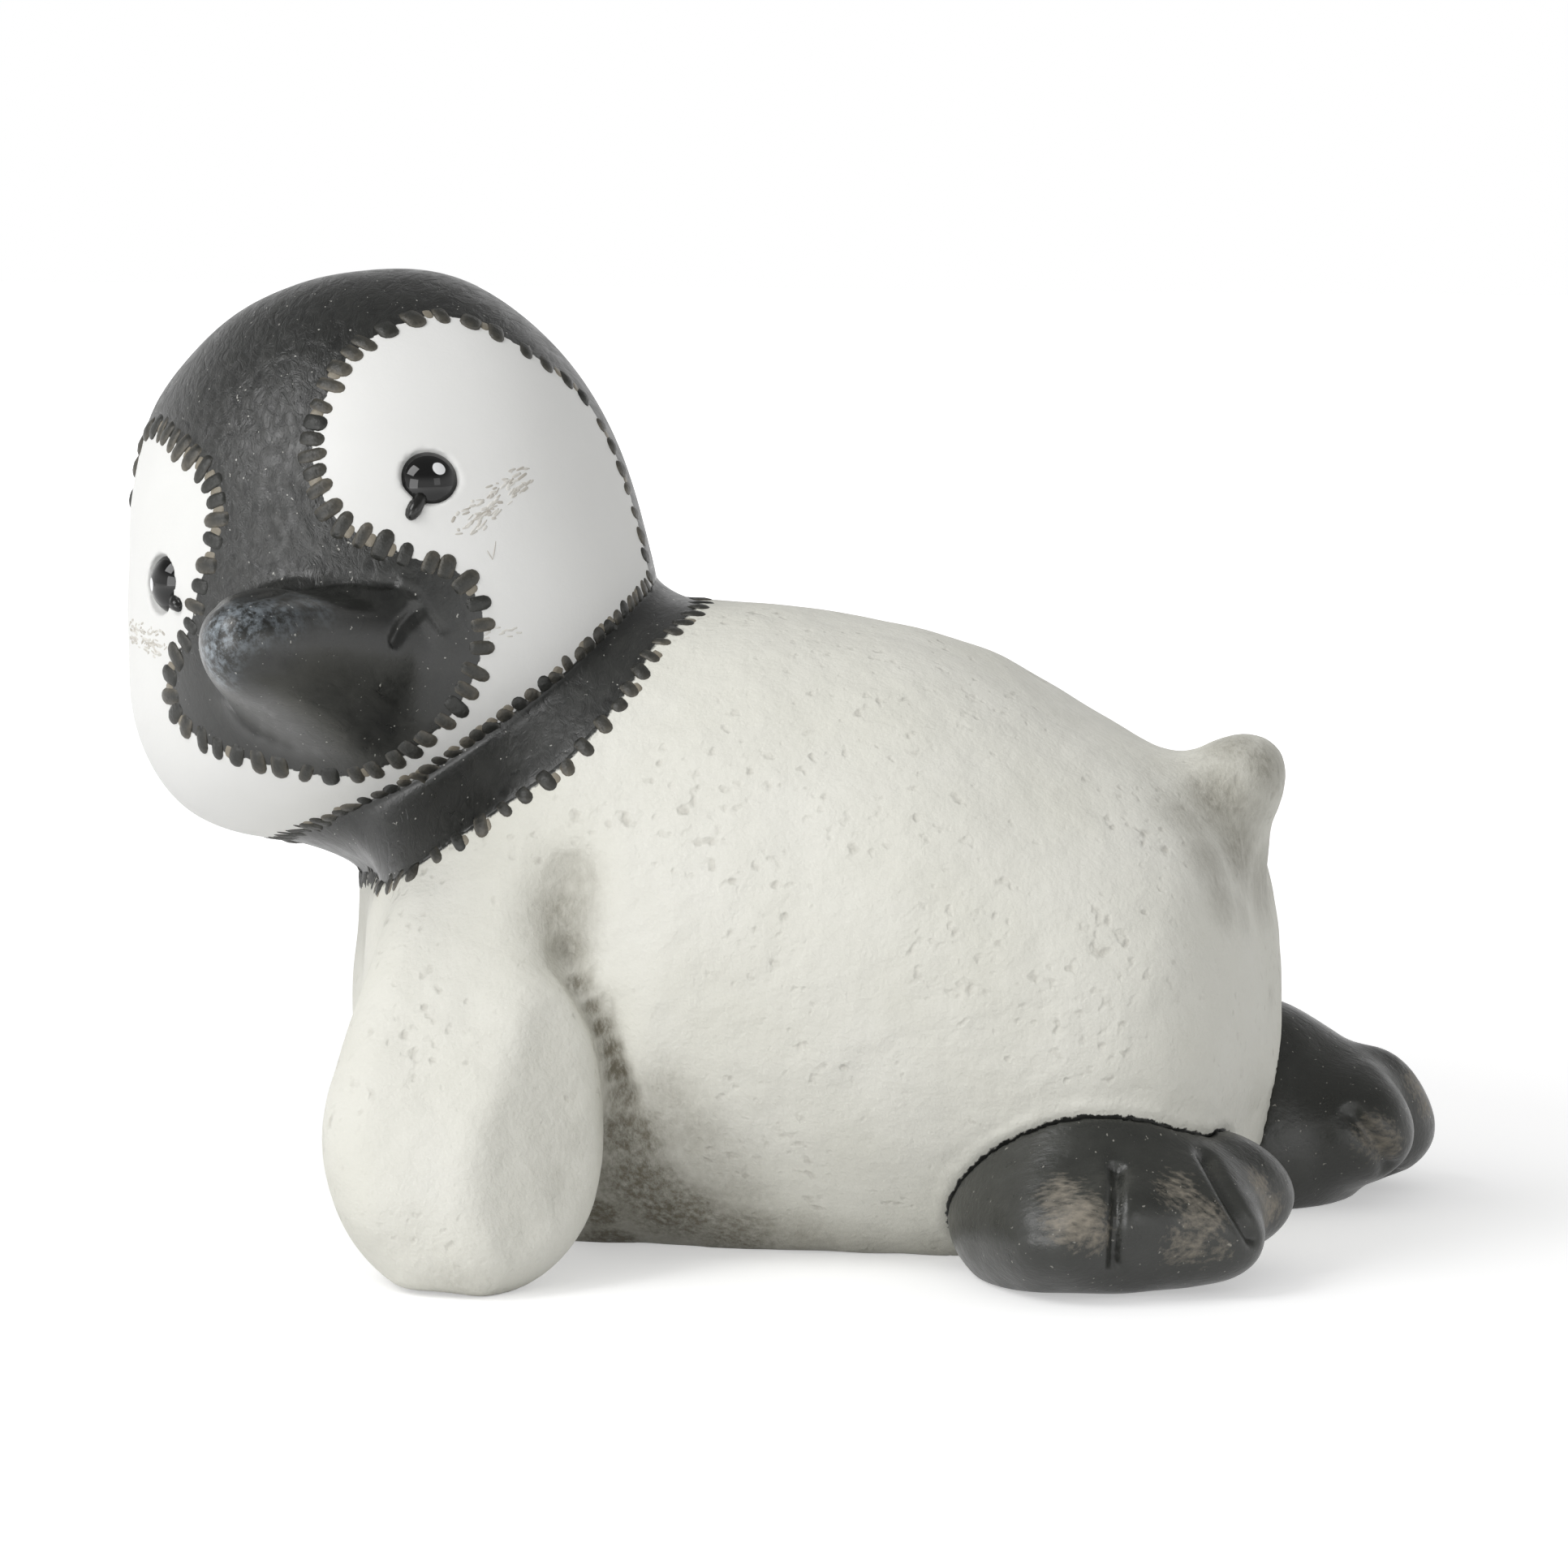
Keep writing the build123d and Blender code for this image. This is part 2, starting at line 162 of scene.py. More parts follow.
# %% [markdown]
# The stage is a pale floor in a white surround. More lamps would burn it out to white, and the figure with
# it, so floor and surround glow only for rays that look at them, from the camera or off a gloss or a glass.
# Light for the figure is counted apart, so the shadow on the floor stays. Overhead the surround grows dark,
# as a studio ceiling is, which keeps black paint black where it faces up.

# %% Floor and surround
FLOOR_HALF = 4.0
FLOOR_GLOW = {"From Min": 0.2, "From Max": 0.8, "To Min": 0.42, "To Max": 1.0}
CEILING = {"From Min": 0.2, "From Max": 0.65, "To Min": 1.0, "To Max": 0.25}
SURROUND_LIGHT = 0.52
floor_mesh = bpy.data.meshes.new("floor")
corners = [(x * FLOOR_HALF, y * FLOOR_HALF, 0) for x, y in ((-1, -1), (1, -1), (1, 1), (-1, 1))]
floor_mesh.from_pydata(corners, [], [(0, 1, 2, 3)])
floor = put_in_scene("floor", floor_mesh)


def looked_at(tree):
    """1 for a ray that sees the stage itself, straight or in a gloss or a glass, and 0 for light."""
    seen = 0.0
    for ray in ("Is Camera Ray", "Is Glossy Ray", "Is Transmission Ray"):
        this_ray = add_node(tree, "LightPath", output=ray)
        seen = add_node(tree, "Math", {"operation": "MAXIMUM", 0: seen, 1: this_ray})
    return seen


floor_material = bpy.data.materials.new("pale_studio_floor")
tree = empty_tree(floor_material)
spot = add_node(tree, "TexCoord", output="Object")
metres_off = add_node(tree, "VectorMath", {"operation": "LENGTH", 0: spot}, "Value")
wanted = add_node(tree, "MapRange", {"Value": metres_off, **FLOOR_GLOW})
strength = add_node(tree, "Math", {**MULTIPLY, 0: looked_at(tree), 1: wanted})
matt = add_node(tree, "BsdfDiffuse", {"Color": paint("#E4E4E4")})
glow = add_node(tree, "Emission", {"Color": paint("#FFFFFF"), "Strength": strength})
both = add_node(tree, "AddShader", {0: matt, 1: glow})
add_node(tree, "OutputMaterial", {"Surface": both})
floor_mesh.materials.append(floor_material)

world = bpy.data.worlds.new("studio_surround")
bpy.context.scene.world = world
tree = empty_tree(world)
way = add_node(tree, "TexCoord", output="Generated")
upward = add_node(tree, "SeparateXYZ", {"Vector": way}, "Z")
ceiling = add_node(tree, "MapRange", {**SMOOTH, "Value": upward, **CEILING})
level = add_node(tree, "Mix", {
    "data_type": "FLOAT", SHARE: looked_at(tree), FIRST_NUMBER: SURROUND_LIGHT, LAST_NUMBER: ceiling,
})
surround = add_node(tree, "Background", {"Color": paint("#FFFFFF"), "Strength": level})
add_node(tree, "OutputWorld", {"Surface": surround})
bpy.context.scene.view_settings.view_transform = "Standard"
print("stage:", floor.name, world.name)

# %% [markdown]
# Three soft square lamps keep a plain level. The key stands high on the left, a lower one lights the chest
# and the face from in front, and a weak fill opens the shadow at the tail.

# %% Lamps
# Place and aim in metres, side of the square in metres, power in watts
LAMPS = {
    "key": ((-0.84, -0.65, 1.21), (0, 0, 0.1), 0.75, 8.7),
    "front": ((-0.68, -1.18, 0.32), (0, 0, 0.08), 0.7, 4.9),
    "fill": ((1.15, -0.9, 0.55), (0, 0, 0.08), 0.6, 1.2),
}
for name, (place, aim, side, power) in LAMPS.items():
    lamp_data = bpy.data.lights.new(name, "AREA")
    lamp_data.shape = "SQUARE"
    lamp_data.size = side
    lamp_data.energy = power
    look = (Vector(aim) - Vector(place)).normalized()
    lamp = put_in_scene(name, lamp_data)
    lamp.matrix_world = Matrix.Translation(place) @ look.to_track_quat("-Z", "Y").to_matrix().to_4x4()
print("lamps:", list(LAMPS))

# %% [markdown]
# Every later step bends a skin of many thousand vertices, so the vertices are handled as arrays. Smoothing
# pulls each vertex toward its neighbours. Done alone it rounds edges off, and followed by a slightly larger
# step out it keeps the volume.

# %% Arrays and smoothing
STEP_IN, STEP_OUT = 0.5, 0.52


def coords(mesh):
    """Vertex places as an array."""
    flat = np.empty(len(mesh.vertices) * 3)
    mesh.vertices.foreach_get("co", flat)
    return flat.reshape(-1, 3)


def put_coords(mesh, places):
    """Write vertex places back."""
    mesh.vertices.foreach_set("co", np.ascontiguousarray(places).ravel())
    mesh.update()


def normals(mesh):
    """Vertex normals as an array."""
    flat = np.empty(len(mesh.vertices) * 3, np.float32)
    mesh.vertex_normals.foreach_get("vector", flat)
    return flat.reshape(-1, 3).astype(float)


def push_out(mesh, rise_mm):
    """Move each vertex along its normal."""
    put_coords(mesh, coords(mesh) + (rise_mm * mm)[:, None] * normals(mesh))


def neighbour_mean(mesh):
    """Function that averages any per-vertex array over each vertex's neighbours."""
    ends = np.empty(len(mesh.edges) * 2, np.int32)
    mesh.edges.foreach_get("vertices", ends)
    first, second = ends.reshape(-1, 2).T
    count = len(mesh.vertices)
    degree = np.bincount(first, minlength=count) + np.bincount(second, minlength=count)
    degree = np.maximum(degree, 1)

    def mean(values):
        total = np.bincount(first, values[second], count) + np.bincount(second, values[first], count)
        return total / degree

    return lambda array: np.stack([mean(column) for column in array.T], 1)


def relax(mesh, rounds):
    """Smooth a skin and keep its volume."""
    mean = neighbour_mean(mesh)
    places = coords(mesh)
    for _ in range(rounds):
        places = places + STEP_IN * (mean(places) - places)
        places = places - STEP_OUT * (mean(places) - places)
    put_coords(mesh, places)


def soften(mesh, rounds, weight):
    """Plain smoothing where the weight allows it, which rounds edges off."""
    mean = neighbour_mean(mesh)
    places = coords(mesh)
    for _ in range(rounds):
        places = places + STEP_IN * weight[:, None] * (mean(places) - places)
    put_coords(mesh, places)


def soft_step(values, start, end):
    """0 before start, 1 after end, smooth between."""
    share = np.clip((values - start) / (end - start), 0, 1)
    return share * share * (3 - 2 * share)


def hill(gap, reach):
    """1 at no distance, fading out over a reach."""
    return np.exp(-((gap / reach) ** 2))


print("half way up a soft step:", soft_step(0.5, 0, 1))

# %% [markdown]
# A casting has no sharp joins: where two forms meet the modeller's thumb and the mould leave a soft hollow.
# Boolean unions would keep each join sharp. So the CAD copies are joined, their tenon holes are closed with
# lids from inside, and a voxel remesh makes one even skin, which a few rounds of smoothing soften.

# %% Casting a skin
LID_SIDES = 48


def outer_shell(mesh):
    """Keep only the largest connected skin."""
    shape = bmesh.new()
    shape.from_mesh(mesh)
    shells = []
    left = set(shape.verts)
    while left:
        start = left.pop()
        shell = {start}
        to_visit = [start]
        while to_visit:
            here = to_visit.pop()
            for edge in here.link_edges:
                there = edge.other_vert(here)
                if there in left:
                    left.discard(there)
                    shell.add(there)
                    to_visit.append(there)
        shells.append(shell)
    shells.sort(key=len)
    for shell in shells[:-1]:
        bmesh.ops.delete(shape, geom=list(shell), context="VERTS")
    shape.to_mesh(mesh)
    shape.free()
    return len(shells)


def cast_skin(name, nodes, lids, voxel_mm, rounds):
    """One even skin over copies of CAD nodes; lids are (centre, axis, radius, thickness) in mm."""
    shape = bmesh.new()
    for node in nodes:
        shape.from_mesh(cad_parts[node].data)
    for centre, axis, radius, thick in lids:
        spin = Vector(axis).to_track_quat("Z", "Y").to_matrix().to_4x4()
        bmesh.ops.create_cone(
            shape, cap_ends=True, segments=LID_SIDES, radius1=radius * mm, radius2=radius * mm,
            depth=thick * mm, matrix=Matrix.Translation(Vector(centre) * mm) @ spin,
        )
    mesh = bpy.data.meshes.new(name)
    shape.to_mesh(mesh)
    shape.free()
    piece = put_in_scene(name, mesh)
    remesh = piece.modifiers.new("even skin", "REMESH")
    remesh.mode = "VOXEL"
    remesh.voxel_size = voxel_mm * mm
    graph = bpy.context.evaluated_depsgraph_get()
    skin = bpy.data.meshes.new_from_object(piece.evaluated_get(graph))
    piece.modifiers.clear()
    piece.data = skin
    shells = outer_shell(skin)
    relax(skin, rounds)
    skin.shade_smooth()
    print(name, "faces", len(skin.polygons), "shells found", shells)
    return piece


def surface_tree(*pieces):
    """Search tree over the skins of some pieces."""
    points, faces = [], []
    for piece in pieces:
        base = len(points)
        points.extend(v.co[:] for v in piece.data.vertices)
        faces.extend(tuple(i + base for i in p.vertices) for p in piece.data.polygons)
    return BVHTree.FromPolygons(points, faces)


print("lid sides:", LID_SIDES)

# %% [markdown]
# Two frames are needed again and again: the head's own, and the neck joint's. Both repeat the sizes that
# drive the CAD model, because the head is turned, lifted and rolled on its neck.

# %% Head and neck frames
HEAD_PLACE = Vector((-78.8, 0, 126.5)) * mm
HEAD_TURN, HEAD_LIFT, HEAD_ROLL = 79, 15, 22.6
NECK_PLACE = Vector((-55, 0, 93.2)) * mm
NECK_LEAN, NECK_TILT = math.radians(48), math.radians(9)

head_turn = Matrix.Rotation(math.radians(180 + HEAD_TURN), 4, "Z")
head_lift = Matrix.Rotation(math.radians(-HEAD_LIFT), 4, "Y")
head_roll = Matrix.Rotation(math.radians(HEAD_ROLL), 4, "X")
head_frame = Matrix.Translation(HEAD_PLACE) @ head_turn @ head_lift @ head_roll
into_head = head_frame.inverted()

neck_square = Vector((-math.cos(NECK_LEAN), 0, math.sin(NECK_LEAN)))
neck_up = neck_square * math.cos(NECK_TILT) - Vector((0, 1, 0)) * math.sin(NECK_TILT)
neck_across = Vector((0, 1, 0)) * math.cos(NECK_TILT) + neck_square * math.sin(NECK_TILT)
neck_front = neck_up.cross(neck_across)


def from_head(x, y, z):
    """A place given in the head's own frame, as mm in the shared frame."""
    return (head_frame @ (Vector((x, y, z)) * mm)) / mm


def head_way(x, y, z):
    """A direction given in the head's own frame."""
    return (head_frame.to_3x3() @ Vector((x, y, z))).normalized()


def in_head(places):
    """Places seen from the head's own frame, in mm."""
    return (places @ np.array(into_head.to_3x3()).T + np.array(into_head.translation)) / mm


def neck_mm(up):
    """A place on the neck's axis, as mm in the shared frame."""
    return NECK_PLACE / mm + neck_up * up


print("head faces", [round(c, 2) for c in head_way(1, 0, 0)], "neck axis", [round(c, 2) for c in neck_up])

# %% [markdown]
# The body, both flippers and the tail stub are one white skin to the eye, so one piece stands for the four.
# Lids close the neck bore, the pouring hole and the two sockets of the feet, so that only the outside is
# kept.

# %% Body skin
BODY_VOXEL = 1.3
CAST_ROUNDS = 6
FOOT_SOCKETS = ((67, -41), (82.5, 46))
SOCKETS_AIM_X = 45
SOCKET_HEIGHT = 17
SOCKET_DEPTH = 15
BORE_DEPTH = -6
POURING_HOLE = Vector((34, 0, 10))
# Radius and thickness of each lid
BORE_LID, POURING_LID, SOCKET_LID = (26, 6), (13, 3), (8, 5)
white_nodes = ("torso_shell", "left_flipper", "right_flipper", "tail_stub")
body_lids = [(neck_mm(BORE_DEPTH), neck_up, *BORE_LID), (POURING_HOLE, Vector((0, 0, 1)), *POURING_LID)]
for x, y in FOOT_SOCKETS:
    aim = Vector((SOCKETS_AIM_X - x, -y, 0)).normalized()
    body_lids.append((Vector((x, y, SOCKET_HEIGHT)) + aim * SOCKET_DEPTH, aim, *SOCKET_LID))
body = cast_skin("body_casting", white_nodes, body_lids, BODY_VOXEL, CAST_ROUNDS)

# %% [markdown]
# The head and the beak are cast as one skin too, because the face runs into the beak in one soft sweep.
# Filling moves a vertex outward only, never in, as a modeller's filler would: it turns the hard inside
# corner at the beak's root into a hollow sweep and leaves the rest of the head alone.

# %% Head skin
HEAD_VOXEL = 0.66
SPIGOT_HEIGHT = 4
EYE_OUT, EYE_LID_IN, EYE_DROP = 45.2, 0.6, -3
EYE_ANGLE = math.radians(36)
NECK_LID, EYE_LID = (30, 6), (6.2, 6.4)
BEAK_ROUNDS = 200
BOTH_SIDES = (1, -1)
head_lids = [(neck_mm(SPIGOT_HEIGHT), neck_up, *NECK_LID)]
eye_reach = EYE_OUT - EYE_LID_IN
for side in BOTH_SIDES:
    x, y = math.cos(EYE_ANGLE), side * math.sin(EYE_ANGLE)
    head_lids.append((from_head(eye_reach * x, eye_reach * y, EYE_DROP), head_way(x, y, 0), *EYE_LID))
head = cast_skin("head_casting", ["head_shell", "beak"], head_lids, HEAD_VOXEL, CAST_ROUNDS)


def fill_hollows(mesh, rounds, weight):
    """Move vertices outward toward their neighbours' mean, where the weight allows it."""
    mean = neighbour_mean(mesh)
    places = coords(mesh)
    for step in range(rounds):
        if step % 10 == 0:
            put_coords(mesh, places)
            out = normals(mesh)
        gain = ((mean(places) - places) * out).sum(1)
        places = places + (np.maximum(gain, 0) * weight)[:, None] * out
    put_coords(mesh, places)


# The beak's root as an oval in the head's frame, and where the filler fades out round it and toward the brow
BEAK_HALF_WIDE, BEAK_HALF_HIGH, BEAK_DROP = 30, 27, 30
ROOT_FADE, FACE_FADE, BROW_FADE = (0.9, 1.35), (18, 30), (-27, -14)
BROW_SPARED = 0.82
front, across, up = in_head(coords(head.data)).T
root_reach = np.sqrt((across / BEAK_HALF_WIDE) ** 2 + ((up + BEAK_DROP) / BEAK_HALF_HIGH) ** 2)
near_beak = (1 - soft_step(root_reach, *ROOT_FADE)) * soft_step(front, *FACE_FADE)
near_beak *= 1 - BROW_SPARED * soft_step(up, *BROW_FADE)
fill_hollows(head.data, BEAK_ROUNDS, near_beak)
print("filled round the beak:", int((near_beak > 0.5).sum()), "vertices")

# %% [markdown]
# A sculptor corrects an outline with the thumb. This grab tool does the same: it takes the skin at a pixel
# of the photograph and moves it by some pixels across, down or nearer, fading out over a reach in mm. The
# moves bring the chin, the jowl and the crown to the outline in the photograph.

# %% Grab tool and the head's outline
def seen_at(tree, u, v):
    """Place on a skin that the camera sees at a pixel, or nothing."""
    return tree.ray_cast(view_place, pixel_ray(u, v))[0]


def grab(piece, moves, sides=(1,)):
    """Move a skin by (u, v, across, down, nearer, reach in mm), all but the last in pixels."""
    places = coords(piece.data)
    tree = surface_tree(piece)
    total = np.zeros_like(places)
    for u, v, across, down, nearer, reach_mm in moves:
        held = seen_at(tree, u, v)
        if held is None:
            way = np.array(pixel_ray(u, v))
            to_each = places - np.array(view_place)
            off = to_each - np.outer(to_each @ way, way)
            held = places[np.argmin((off * off).sum(1))]
        shift = np.array(view_right * across - view_up * down + view_back * nearer) / PIXELS_PER_MM * mm
        for side in sides:
            flip = np.array((1, side, 1))
            gap = np.linalg.norm(places - np.array(held) * flip, axis=1)
            total += hill(gap, reach_mm * mm)[:, None] * shift * flip
    put_coords(piece.data, places + total)


HEAD_MOVES = [
    (330, 1070, 0, -39, 0, 20), (172, 870, -13, 0, 0, 14), (153, 690, 5, 0, 0, 8), (430, 328, 0, 6, 0, 24),
    (198, 495, -9, 0, 0, 11), (388, 706, 0, 24, 0, 11), (330, 722, 0, 9, 0, 8), (450, 716, 0, 8, 0, 8),
]
grab(head, HEAD_MOVES)
print("head moved at", len(HEAD_MOVES), "places")

# %% [markdown]
# The flipper runs into the chest in front with no line at all, but behind it a deep crease stays. So the
# filler is spread in front of the flippers, over the shoulders and round the tail only.

# %% Shoulders and tail root
AHEAD_FADE, TOP_FADE, BEHIND_FADE = (-56, -36), (44, 62), (0, 20)
SIDE_FADE, TABLE_FADE = (20, 30), (8, 20)
RUMP_FADE, RUMP_HEIGHT_FADE = (60, 70), (50, 62)
TAIL_SHARE = 0.9
SHOULDER_ROUNDS, TAIL_ROUNDS = 160, 240
BODY_MOVES = [(424, 1180, 24, 0, 0, 15), (1390, 890, 0, 12, 0, 20), (1556, 1035, 10, 0, 0, 8)]
FLIPPER_MOVES = [(402, 1505, 19, -6, 0, 22)]
along, across, up = coords(body.data).T / mm
in_front = 1 - soft_step(along, *AHEAD_FADE)
over_top = soft_step(up, *TOP_FADE) * (1 - soft_step(along, *BEHIND_FADE))
shoulder = np.maximum(in_front, over_top) * soft_step(np.abs(across), *SIDE_FADE) * soft_step(up, *TABLE_FADE)
tail_root = soft_step(along, *RUMP_FADE) * soft_step(up, *RUMP_HEIGHT_FADE)
fill_hollows(body.data, SHOULDER_ROUNDS, np.maximum(shoulder, TAIL_SHARE * tail_root))
fill_hollows(body.data, TAIL_ROUNDS, tail_root)
grab(body, BODY_MOVES)
grab(body, FLIPPER_MOVES, BOTH_SIDES)
print("shoulders filled:", int((shoulder > 0.5).sum()), "vertices")

# %% [markdown]
# Behind, each flipper has a flat facet, as if shaved with a knife. It could be cut with a boolean, but a
# plane through three places seen in the photograph that pushes the skin back keeps the mesh even.

# %% Flipper facet
RIDGE_TOP, RIDGE_FOOT, FACET_REAR = (728, 1275), (598, 1545), (742, 1430)
FLIPPER_SIDE, FLIPPER_BACK, FLIPPER_TOP = -52 * mm, -16 * mm, 68 * mm
EDGE_SIDE, EDGE_BACK, EDGE_SOFT = -40 * mm, -10 * mm, 4 * mm
EDGE_TOP_FADE = (60, 80)
EDGE_ROUNDS, EVEN_ROUNDS = 24, 3
body_tree = surface_tree(body)
ridge_top, ridge_foot, rear = [seen_at(body_tree, u, v) for u, v in (RIDGE_TOP, RIDGE_FOOT, FACET_REAR)]
facet_way = np.array((ridge_foot - ridge_top).cross(rear - ridge_top).normalized())
if facet_way[1] > 0:
    facet_way = -facet_way
places = coords(body.data)
facet_edge = np.zeros(len(places))
for side in BOTH_SIDES:
    flip = np.array((1, side, 1))
    along, across, up = (places * flip).T
    beyond = (places * flip - np.array(ridge_top)) @ facet_way
    on_flipper = (across < FLIPPER_SIDE) & (along < FLIPPER_BACK) & (up < FLIPPER_TOP)
    cut_back = np.where(on_flipper & (beyond > 0), beyond, 0)
    near_edge = hill(beyond, EDGE_SOFT) * (across < EDGE_SIDE) * (along < EDGE_BACK)
    facet_edge = np.maximum(facet_edge, near_edge * (1 - soft_step(up / mm, *EDGE_TOP_FADE)))
    places = places - cut_back[:, None] * facet_way * flip
put_coords(body.data, places)
soften(body.data, EDGE_ROUNDS, facet_edge)
relax(body.data, EVEN_ROUNDS)
print("facet faces", facet_way.round(2))

# %% [markdown]
# Above the crease the thumb left a soft hollow in the armpit, and fine lines part the beak from the face. A
# bump could fake them, but they catch real shadow, so one tool presses a rounded groove into the skin along
# a line of pixels, and another rubs a place smooth.

# %% Pressed lines: armpits, creases and beak
HEAD_MIRROR = head_frame @ Matrix.Diagonal((1, -1, 1, 1)) @ into_head
BODY_MIRROR = Matrix.Diagonal((1, -1, 1, 1))
LINE_STEPS = 12
ARMPIT_RUBS = ((748, 1112, 10, 120), (735, 1150, 8, 60), (505, 1586, 9, 25))
ARMPIT_LINE = ((698, 1088), (690, 1125), (697, 1165))
ARMPIT_SMOOTH = ((696, 1105, 7, 25), (697, 1150, 6, 25))
CREASE_LINE = ((697, 1165), (714, 1212), (729, 1241), (747, 1278), (763, 1328), (769, 1352))
# Half width and depth of a groove in mm, and each beak line with its own
ARMPIT_GROOVE, CREASE_GROOVE = (6.2, 4.8), (2.6, 3.0)
BEAK_LINES = (
    (((300, 738), (360, 724), (430, 714), (482, 718)), 1.3, 0.8),
    (((482, 718), (515, 732), (545, 776)), 0.8, 0.4),
    (((513, 752), (497, 770), (487, 790)), 1.2, 1.0),
)


def press_groove(piece, pixels, half_mm, depth_mm, mirror=None):
    """Press a groove into a skin along a line of pixels, and its mirror image if asked for."""
    tree = surface_tree(piece)
    line = []
    for (u0, v0), (u1, v1) in zip(pixels, pixels[1:]):
        for step in range(LINE_STEPS):
            share = step / (LINE_STEPS - 1)
            place = seen_at(tree, u0 + (u1 - u0) * share, v0 + (v1 - v0) * share)
            if place is not None:
                line.append(place)
                if mirror:
                    line.append(mirror @ place)
    places = coords(piece.data)
    gap = np.full(len(places), 1.0)
    for point in np.array(line):
        gap = np.minimum(gap, np.linalg.norm(places - point, axis=1))
    push_out(piece.data, -depth_mm * hill(gap, half_mm * mm))


def rub(piece, spots, mirror=None):
    """Smooth a skin round some (u, v, reach in mm, rounds), and round their mirror images if asked for."""
    for u, v, reach_mm, rounds in spots:
        held = seen_at(surface_tree(piece), u, v)
        gap = np.linalg.norm(coords(piece.data) - np.array(held), axis=1)
        if mirror:
            gap = np.minimum(gap, np.linalg.norm(coords(piece.data) - np.array(mirror @ held), axis=1))
        soften(piece.data, rounds, hill(gap, reach_mm * mm))


rub(body, ARMPIT_RUBS, BODY_MIRROR)
press_groove(body, ARMPIT_LINE, *ARMPIT_GROOVE, BODY_MIRROR)
rub(body, ARMPIT_SMOOTH, BODY_MIRROR)
press_groove(body, CREASE_LINE, *CREASE_GROOVE, BODY_MIRROR)
for beak_line in BEAK_LINES:
    press_groove(head, *beak_line, HEAD_MIRROR)
print("pressed lines:", 2 + len(BEAK_LINES))

# %% [markdown]
# The feet are mitten shapes: the toes are parted by short cut grooves and are otherwise one soft lobe. The
# filler closes the valleys between the CAD toes, the thumb rounds the tips, and the groove tool presses
# each line back in.

# %% Feet skins
FOOT_VOXEL = 0.7
FOOT_ROUNDS = 8
NEAR_FOOT_MOVES = [
    (1270, 1535, 0, 0, 55, 12), (1387, 1588, 0, 0, -58, 9), (1320, 1570, 0, 0, 18, 6),
    (1450, 1575, 0, 0, 16, 6),
]
NEAR_FOOT_RUBS = ((1545, 1470, 11, 450), (1387, 1575, 11, 320), (1320, 1560, 6, 60), (1452, 1565, 6, 60))
FAR_FOOT_MOVES = [(1690, 1320, 0, -26, 0, 11), (1738, 1348, 0, -14, 0, 8)]
NEAR_TOE_LINES = (
    (((1376, 1438), (1376, 1500), (1374, 1562)), 1.2, 2.4),
    (((1487, 1424), (1512, 1470), (1545, 1525)), 1.7, 2.0),
)
FAR_TOE_LINE = (((1668, 1372), (1700, 1415), (1722, 1462)), 2.0, 2.0)
NEAR_FILL, FAR_FILL, LAST_ROUNDS = 330, 140, 2
left_foot = cast_skin("left_foot_casting", ["left_foot"], [], FOOT_VOXEL, FOOT_ROUNDS)
right_foot = cast_skin("right_foot_casting", ["right_foot"], [], FOOT_VOXEL, FOOT_ROUNDS)
for foot, rounds in ((left_foot, NEAR_FILL), (right_foot, FAR_FILL)):
    fill_hollows(foot.data, rounds, np.ones(len(foot.data.vertices)))
grab(left_foot, NEAR_FOOT_MOVES)
rub(left_foot, NEAR_FOOT_RUBS)
grab(right_foot, FAR_FOOT_MOVES)
for toe_line in NEAR_TOE_LINES:
    press_groove(left_foot, *toe_line)
press_groove(right_foot, *FAR_TOE_LINE)
for foot in (left_foot, right_foot):
    soften(foot.data, LAST_ROUNDS, np.ones(len(foot.data.vertices)))
print("feet grooved:", left_foot.name, right_foot.name)

# %% [markdown]
# Where the body comes down over each foot the mould left a thin hem. It is pressed out of the body's skin
# by the distance to the foot, and the skin as a whole gets slow lumps a few tenths of a millimetre high.

# %% Hems and lumps
HEM_HIGH, HEM_OFF, HEM_HALF = 0.65, 2.0, 0.9
HEM_TABLE_FADE = (2, 6)
HEM_REACH = 8
# Size and height in mm of the lumps, and a seed for their places
WIDE_LUMPS, SMALL_LUMPS, HEAD_LUMPS = (30, 0.45, 3.1), (10, 0.34, 7.7), (24, 0.25, 1.3)


def gap_to(piece, places, reach_mm):
    """Distance in mm from each place to a piece, or the reach where it is further off."""
    tree = surface_tree(piece)
    corner_low = coords(piece.data).min(0) - reach_mm * mm
    corner_high = coords(piece.data).max(0) + reach_mm * mm
    close = np.all((places > corner_low) & (places < corner_high), axis=1)
    gap = np.full(len(places), float(reach_mm))
    for i in np.nonzero(close)[0]:
        found = tree.find_nearest(Vector(places[i]), reach_mm * mm)
        if found[0] is not None:
            gap[i] = found[3] / mm
    return gap


def slow_lumps(piece, size_mm, height_mm, seed):
    """Raise and lower a skin by smooth noise."""
    shift = Vector((seed, 2 * seed, 3 * seed))
    rise = [noise.noise(Vector(p) / (size_mm * mm) + shift) for p in coords(piece.data)]
    push_out(piece.data, np.array(rise) * height_mm)


places = coords(body.data)
foot_gap = np.minimum(gap_to(left_foot, places, HEM_REACH), gap_to(right_foot, places, HEM_REACH))
hem = HEM_HIGH * hill(foot_gap - HEM_OFF, HEM_HALF) * soft_step(places[:, 2] / mm, *HEM_TABLE_FADE)
push_out(body.data, hem)
slow_lumps(body, *WIDE_LUMPS)
slow_lumps(body, *SMALL_LUMPS)
slow_lumps(head, *HEAD_LUMPS)
for piece in (body, left_foot, right_foot):
    places = coords(piece.data)
    places[:, 2] = np.maximum(places[:, 2], 0)
    put_coords(piece.data, places)
print("hem height in mm:", round(float(hem.max()), 2))

